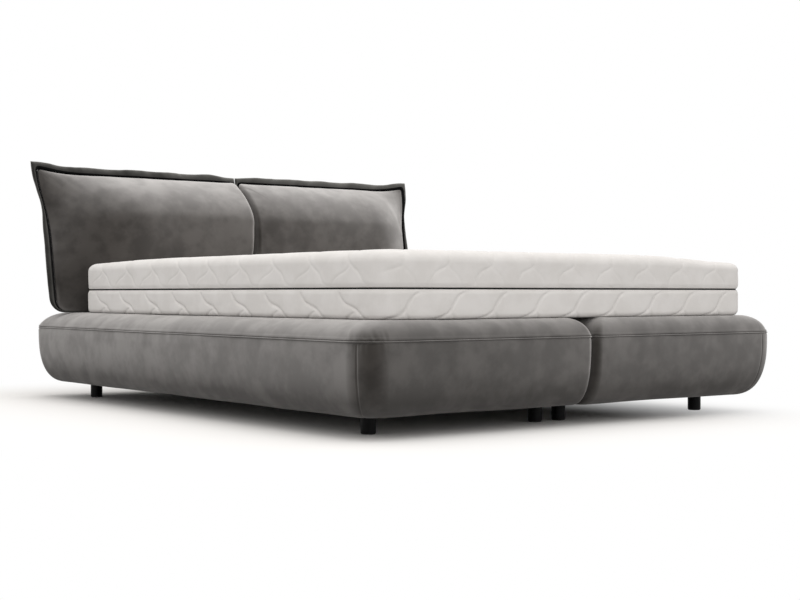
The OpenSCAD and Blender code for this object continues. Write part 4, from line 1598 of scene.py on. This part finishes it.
@dataclass
class Mattress:
    """Mattress in a quilted cover of two parts that a zip joins all round.

    The starts are where the pattern begins on the left side, the right side and the foot.
    """

    half_width: float = 0.800
    foot: float = -1.105
    head: float = 0.895
    bottom: float = 0.340
    zip_line: float = 0.431
    top: float = 0.541
    crown: float = 0.011
    crown_reach: float = 0.15
    radius: float = 0.080
    least_radius: float = 0.004
    top_radius: float = 0.034
    bottom_radius: float = 0.016
    underneath: Pair = (0.10, 0.05)
    underneath_rise: float = 0.0004
    rim: Pairs = ((0.0004, 0.0075), (0.0010, 0.0050), (0.0022, 0.0033), (0.0044, 0.0026),
                  (0.0080, 0.0025))
    rim_height: float = 0.0105
    bottom_rings: Tuple[int, int] = (8, 24)
    top_rings: Tuple[int, int] = (22, 12)
    crown_rings: Tuple[int, int] = (14, 56)
    middle: Three = (0.20, 0.211, 0.7995)
    corner_drops: Dict[Tuple[int, int], Pair] = field(default_factory=lambda: {
        (-1, -1): (0.002, 0.40), (1, -1): (0.020, 0.50),
        (1, 1): (0.020, 0.70), (-1, 1): (0.010, 0.60)})
    corner_count: int = 14
    straight_counts: Tuple[int, int] = (340, 430)
    lower_starts: Three = (0.892, 0.892, 0.629)
    upper_starts: Three = (0.954, 0.892, 0.720)
    lower_foot: QuiltBand = QuiltBand(
        FOOT_PITCH,
        QuiltLine(((0, 0), (0.1, -0.18), (0.25, -0.33), (0.5, -0.44), (0.75, -0.52),
                   (0.9, -0.66), (1, -0.85)), (0.0, 1.1)),
        QuiltLine(((0, -0.52), (0.75, -0.50), (1, -0.40)), (0.74, 1.1)),
        0.45, (0.8, 0.35))
    lower_side: QuiltBand = QuiltBand(
        SIDE_PITCH,
        QuiltLine(((0, 0), (0.24, 0.055), (0.48, 0.167), (0.65, 0.44), (0.85, 0.56),
                   (1, 0.64)), (0.0, 1.1)),
        QuiltLine(((0, 0.5), (0.7, 0.46), (0.85, 0.32), (1, 0.16)), (0.72, 1.1)),
        0.45, (0.8, 0.35))
    upper_foot: QuiltBand = QuiltBand(
        FOOT_PITCH,
        QuiltLine(((0, -0.42), (0.25, -0.40), (0.45, -0.30), (0.6, -0.03), (0.8, 0.04),
                   (1, 0.08)), (0.0, 1.2)),
        QuiltLine(((0, 0.30), (0.3, 0.22), (0.6, -0.02), (1, -0.3)), (0.0, 1.2)),
        0.4, (0.42, 0.0))
    upper_side: QuiltBand = QuiltBand(
        SIDE_PITCH,
        QuiltLine(((0, 0.50), (0.15, 0.32), (0.3, 0.27), (0.44, 0.21), (0.56, 0.09),
                   (0.68, 0.0), (0.85, -0.10), (1, -0.18)), (0.0, 1.2)),
        QuiltLine(((0, -0.47), (0.08, -0.45), (0.2, -0.41), (0.33, -0.32), (0.42, -0.16),
                   (0.54, -0.03), (0.68, 0.0), (1, 0.1)), (0.04, 0.72)),
        0.6, (0.45, 0.0))
    leaf_swing: float = 0.25
    leaf_line: Three = (0.8, 0.009, 1.5)
    turn_width: float = 0.03
    flat_from: Pair = (0.012, 0.02)
    puff: float = 0.0022
    quilt_depth: float = 0.0056
    unevenness: Ripple = Ripple(0.0010, (0.10, 0.10, 0.08))
    zip_hold: Pair = (0.0055, 0.011)
    bottom_hold: float = 0.004
    head_hold: Pair = (0.010, 0.006)
    fullness: float = 0.9

    def ring(self, inset: float, z: float) -> np.ndarray:
        """Ring of the cover.

        Args:
            inset: how far it is drawn in.
            z: its height.

        Returns:
            The points of the ring.
        """
        r = max(self.least_radius, self.radius - inset)
        box = (-self.half_width + inset, self.half_width - inset,
               self.foot + inset, self.head - inset)
        return at_height(rounded_ring(box, (r,) * 4, (self.corner_count,) * 4,
                                      self.straight_counts), z)

    def top_depth(self, x: np.ndarray, y: np.ndarray) -> np.ndarray:
        """Depth of the leaf lines on the top, from 0 to 1.

        Args:
            x: places along X.
            y: places along Y.

        Returns:
            Depth at each place.
        """
        p, q = x / FOOT_PITCH, y / SIDE_PITCH
        swing = self.leaf_swing * np.sin(2 * math.pi * q)
        depth, width, bend = self.leaf_line
        one, two = (hump((place - np.round(place)) * FOOT_PITCH, width, bend)
                    for place in (p - swing, p + swing + 0.5))
        return depth * np.maximum(one, two)

    def quilting(self, skin: Skin, lower: bool) -> np.ndarray:
        """Depth of the quilting on a cover.

        Args:
            skin: the smooth cover.
            lower: whether it is the one below the zip.

        Returns:
            Depth from 0 to 1 at each point.
        """
        x, y, z = (skin.points[..., k] for k in range(3))
        z = np.minimum(z, self.top - 0.002)
        band = self.zip_line - self.bottom if lower else self.top - self.zip_line
        t = np.clip((self.zip_line - z if lower else z - self.zip_line) / band, 0, 1)
        long_band = self.lower_side if lower else self.upper_side
        short_band = self.lower_foot if lower else self.upper_foot
        at_left, at_right, at_foot = self.lower_starts if lower else self.upper_starts
        left = long_band.depth(-(y + at_left), t, band)
        right = long_band.depth(y + at_right, t, band)
        foot = short_band.depth(x + at_foot, t, band)
        head = short_band.depth(-x, t, band)
        inset_x = self.half_width - np.abs(x)
        inset_y = np.minimum(y - self.foot, self.head - y)
        on_side = smooth_step((inset_y - inset_x) / self.turn_width + 0.5)
        depth = np.where(x < 0, left, right) * on_side + np.where(y < 0, foot, head) * (1 - on_side)
        if lower:
            return depth
        start, change = self.flat_from
        flat = smooth_step((np.minimum(inset_x, inset_y) - start) / change)
        return depth * (1 - flat) + self.top_depth(x, y) * flat

    def softened(self, skin: Skin, lower: bool) -> Skin:
        """Gives a cover its quilting and its soft unevenness.

        Args:
            skin: the smooth cover.
            lower: whether it is the one below the zip.

        Returns:
            The quilted cover.
        """
        z = skin.points[..., 2]
        start, change = self.zip_hold
        hold = smooth_step((np.abs(z - self.zip_line) - start) / change)
        under = smooth_step((z - self.bottom) / self.bottom_hold) if lower else 1.0
        height = (self.puff - self.quilt_depth * self.quilting(skin, lower)
                  + self.unevenness.over(skin.points, 81.0 if lower else 91.0))
        start, change = self.head_hold
        head = smooth_step((skin.points[..., 1] - self.head + start) / change)
        return skin.raised(height * hold * under * (1 - head))

    def lower_cover(self) -> Skin:
        """Shapes the smooth cover below the zip.

        Returns:
            The cover, from underneath up to its rim.
        """
        r, (turn, straight) = self.bottom_radius, self.bottom_rings
        rings = [(inset, self.bottom + self.underneath_rise) for inset in self.underneath]
        rings += [(r * (1 - math.sin(a)), self.bottom + r * (1 - math.cos(a)))
                  for a in np.radians(np.linspace(0, 90, turn))]
        rings += [(0.0, z) for z in np.linspace(self.bottom + r + 0.003,
                                                self.zip_line - self.rim_height, straight)]
        rings += [(inset, self.zip_line - away) for inset, away in self.rim]
        return Skin(np.stack([self.ring(inset, z) for inset, z in rings]))

    def upper_cover(self) -> Skin:
        """Shapes the smooth cover above the zip.

        Returns:
            The cover, from its rim to the middle of the top.
        """
        r, (straight, turn) = self.top_radius, self.top_rings
        rings = [(inset, self.zip_line + away) for inset, away in self.rim[::-1]]
        rings += [(0.0, z) for z in np.linspace(self.zip_line + self.rim_height,
                                                self.top - r - 0.002, straight)]
        rings += [(r * (1 - math.cos(a)), self.top - r + r * math.sin(a))
                  for a in np.radians(np.linspace(0, 90, turn))]
        outer, inner = self.crown_rings
        outer_end, inner_start, inner_end = self.middle
        insets = np.concatenate([np.linspace(r + 0.012, outer_end, outer),
                                 np.linspace(inner_start, inner_end, inner)])
        rings += [(i, self.top + self.crown * (1 - math.exp(-(i - r) / self.crown_reach)))
                  for i in insets.tolist()]
        skin = Skin(np.stack([self.ring(inset, z) for inset, z in rings]))
        x, y, z = (skin.points[..., k] for k in range(3))
        share = np.clip((z - self.zip_line) / (self.top - self.zip_line), 0, 1) ** 2
        for (corner_x, corner_y), (drop, reach) in self.corner_drops.items():
            away = np.hypot(x - corner_x * self.half_width,
                            y - (self.head if corner_y > 0 else self.foot))
            skin.points[..., 2] -= drop * (1 - smooth_step(away / reach)) * share
        return skin

    def build(self, finishes: Wardrobe) -> List[bpy.types.Object]:
        """Makes the pieces of the mattress.

        Args:
            finishes: the bed's finishes.

        Returns:
            The pieces.
        """
        lower = self.softened(self.lower_cover(), True)
        upper = self.softened(self.upper_cover(), False)
        return [dress(piece, finishes.ticking, "mattress", covered)
                for piece, covered in (
                    (lower.build("mattress_lower_quilt", close_first=True),
                     ["mattress_lower_cover"]),
                    (upper.build("mattress_upper_quilt", weld_last=True),
                     ["mattress_upper_cover", "mattress_core"]))]


# The hardware, the studio and the camera


@dataclass
class Hardware:
    """CAD nodes that keep their shape and get a finish."""

    timber: Tuple[str, ...] = ("outer_rail", "inner_rail", "foot_rail", "head_rail",
                               "cross_rails", "glue_blocks", "deck_board", "headboard_ply")
    dust_cloth: Tuple[str, ...] = ("dust_cover",)
    leg_paint: Tuple[str, ...] = ("legs", "leg_plates", "brackets")
    steel: Tuple[str, ...] = ("leg_screws", "bracket_bolts")
    plastic: Tuple[str, ...] = ("glides",)

    def build(self, finishes: Wardrobe) -> List[bpy.types.Object]:
        """Gives each node its finish.

        Args:
            finishes: the bed's finishes.

        Returns:
            The nodes.
        """
        by_finish = ((finishes.timber, self.timber), (finishes.dust_cloth, self.dust_cloth),
                     (finishes.leg_paint, self.leg_paint), (finishes.steel, self.steel),
                     (finishes.plastic, self.plastic))
        chosen = {side.node(name): material
                  for side in Side for material, names in by_finish for name in names}
        chosen.update({"link_plates": finishes.leg_paint, "mattress_zip": finishes.zip_cloth})
        for name, material in chosen.items():
            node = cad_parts[name]
            node.data.materials.clear()
            node.data.materials.append(material)
        return [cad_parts[name] for name in chosen]


@dataclass(frozen=True)
class Lamp:
    """A rectangular soft lamp at a place, turned to a point, with its size and its watts."""

    name: str
    at: Three
    to: Three
    size: Pair
    power: float

    def build(self) -> None:
        """Adds it to the scene."""
        data = bpy.data.lights.new(self.name, "AREA")
        data.shape, data.energy = "RECTANGLE", self.power
        data.size, data.size_y = self.size
        lamp = add_object(self.name, data)
        lamp.location = self.at
        away = Vector(self.to) - Vector(self.at)
        lamp.rotation_euler = away.to_track_quat("-Z", "Y").to_euler()


@dataclass
class Studio:
    """Pale floor, soft light and a white surrounding.

    The area where the floor keeps its own shading is a middle and half a length along X and
    along Y. It stops short of the bed's right side, so the white glow there is painted light over
    the bed's shadow. The floor turns white between the two distances from it.
    """

    lamps: Tuple[Lamp, ...] = (
        Lamp("overhead", (-0.3, -0.3, 4.2), (-0.1, -0.1, 0.0), (4.0, 4.4), 80.0),
        Lamp("left_fill", (-5.2, -0.6, 2.0), (0.0, 0.0, 0.4), (3.5, 2.5), 22.0),
        Lamp("front_fill", (0.6, -6.0, 1.6), (0.0, -1.0, 0.4), (4.0, 2.5), 38.0))
    surround: float = 0.81
    bounce: float = 0.42
    floor_size: float = 14.0
    floor_colour: Colour = (0.93, 0.905, 0.875)
    bed_x: Pair = (-0.28, 0.55)
    bed_y: Pair = (0.05, 1.05)
    pale: Pair = (0.0, 0.95)

    def distance(self, s: Shading) -> bpy.types.NodeSocket:
        """How far a point of the floor is from the area where it keeps its own shading.

        Args:
            s: helper for the floor's nodes.

        Returns:
            The socket of the distance.
        """
        places = s.add("ShaderNodeSeparateXYZ", Vector=s.place()).outputs
        squares = []
        for place, (middle, half) in zip(places, (self.bed_x, self.bed_y)):
            off = s.math("ABSOLUTE", s.math("SUBTRACT", place, middle))
            beyond = s.math("MAXIMUM", s.math("SUBTRACT", off, half), 0.0)
            squares.append(s.math("MULTIPLY", beyond, beyond))
        return s.math("SQRT", s.math("ADD", *squares))

    def floor(self) -> bpy.types.Object:
        """Makes the floor, which glows white away from the bed, and as painted light over part of
        the bed's shadow on its right.

        Returns:
            The floor.
        """
        size = self.floor_size
        mesh = bpy.data.meshes.new("floor")
        mesh.from_pydata([(-size, -size, 0), (size, -size, 0), (size, size, 0), (-size, size, 0)],
                         [], [(0, 1, 2, 3)])
        made = add_object("floor", mesh)
        material = bpy.data.materials.new("Floor")
        s = emptied(material)
        shade = s.mix(s.seen(), (self.bounce,) * 3, self.floor_colour)
        diffuse = s.add("ShaderNodeBsdfDiffuse", Color=shade)
        white = s.add("ShaderNodeEmission", Color=WHITE, Strength=1.0)
        # Painted light: the white glow also covers part of the bed's shadow on its right side.
        share = s.math("MULTIPLY", s.seen(), s.level(self.distance(s), *self.pale))
        s.add("ShaderNodeOutputMaterial", Surface=s.choose(share, diffuse, white))
        made.data.materials.append(material)
        return made

    def surrounding(self) -> None:
        """The world: soft light on the object, white for the camera."""
        world = bpy.data.worlds.new("Surrounding")
        bpy.context.scene.world = world
        s = emptied(world)
        light = s.add("ShaderNodeBackground", Color=WHITE, Strength=self.surround)
        white = s.add("ShaderNodeBackground", Color=WHITE, Strength=1.0)
        s.add("ShaderNodeOutputWorld", Surface=s.choose(s.seen(), light, white))

    def build(self) -> None:
        """Makes the floor, the world and the lamps."""
        self.floor()
        self.surrounding()
        for lamp in self.lamps:
            lamp.build()


@dataclass
class PhotoCamera:
    """Camera at the photograph's viewing angle."""

    location: Three = (-3.1381, -4.2824, 0.4151)
    heading: float = -37.14
    lens: float = 62.78
    sensor: float = 36.0
    shift_y: float = -0.0077
    farthest: float = 60.0

    def build(self) -> None:
        """Makes the camera and sets it as the scene's."""
        data = bpy.data.cameras.new("camera")
        data.sensor_width, data.lens, data.shift_y = self.sensor, self.lens, self.shift_y
        data.clip_end = self.farthest
        camera = add_object("camera", data)
        camera.location = self.location
        camera.rotation_euler = (math.radians(90), 0.0, math.radians(self.heading))
        bpy.context.scene.camera = camera


def main() -> None:
    """Builds the bed, its surroundings and the camera."""
    logging.basicConfig(level=logging.INFO, format="%(name)s: %(message)s")
    bpy.context.scene.view_settings.view_transform = "Standard"
    PhotoCamera().build()
    finishes = Wardrobe(Effects())
    parts: List[Tuple[str, Builder]] = [("hardware", Hardware().build)]
    for side in Side:
        parts.append((side.node("base half"), BaseHalf(side).build))
        parts.append((side.node("head cushion"), HeadCushion(side).build))
    parts.append(("mattress", Mattress().build))
    for name, build in parts:
        for piece in build(finishes):
            log.info("%s: %s, %d points", name, piece.name, len(piece.data.vertices))
    Studio().build()
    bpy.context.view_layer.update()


if __name__ == "__main__":
    main()
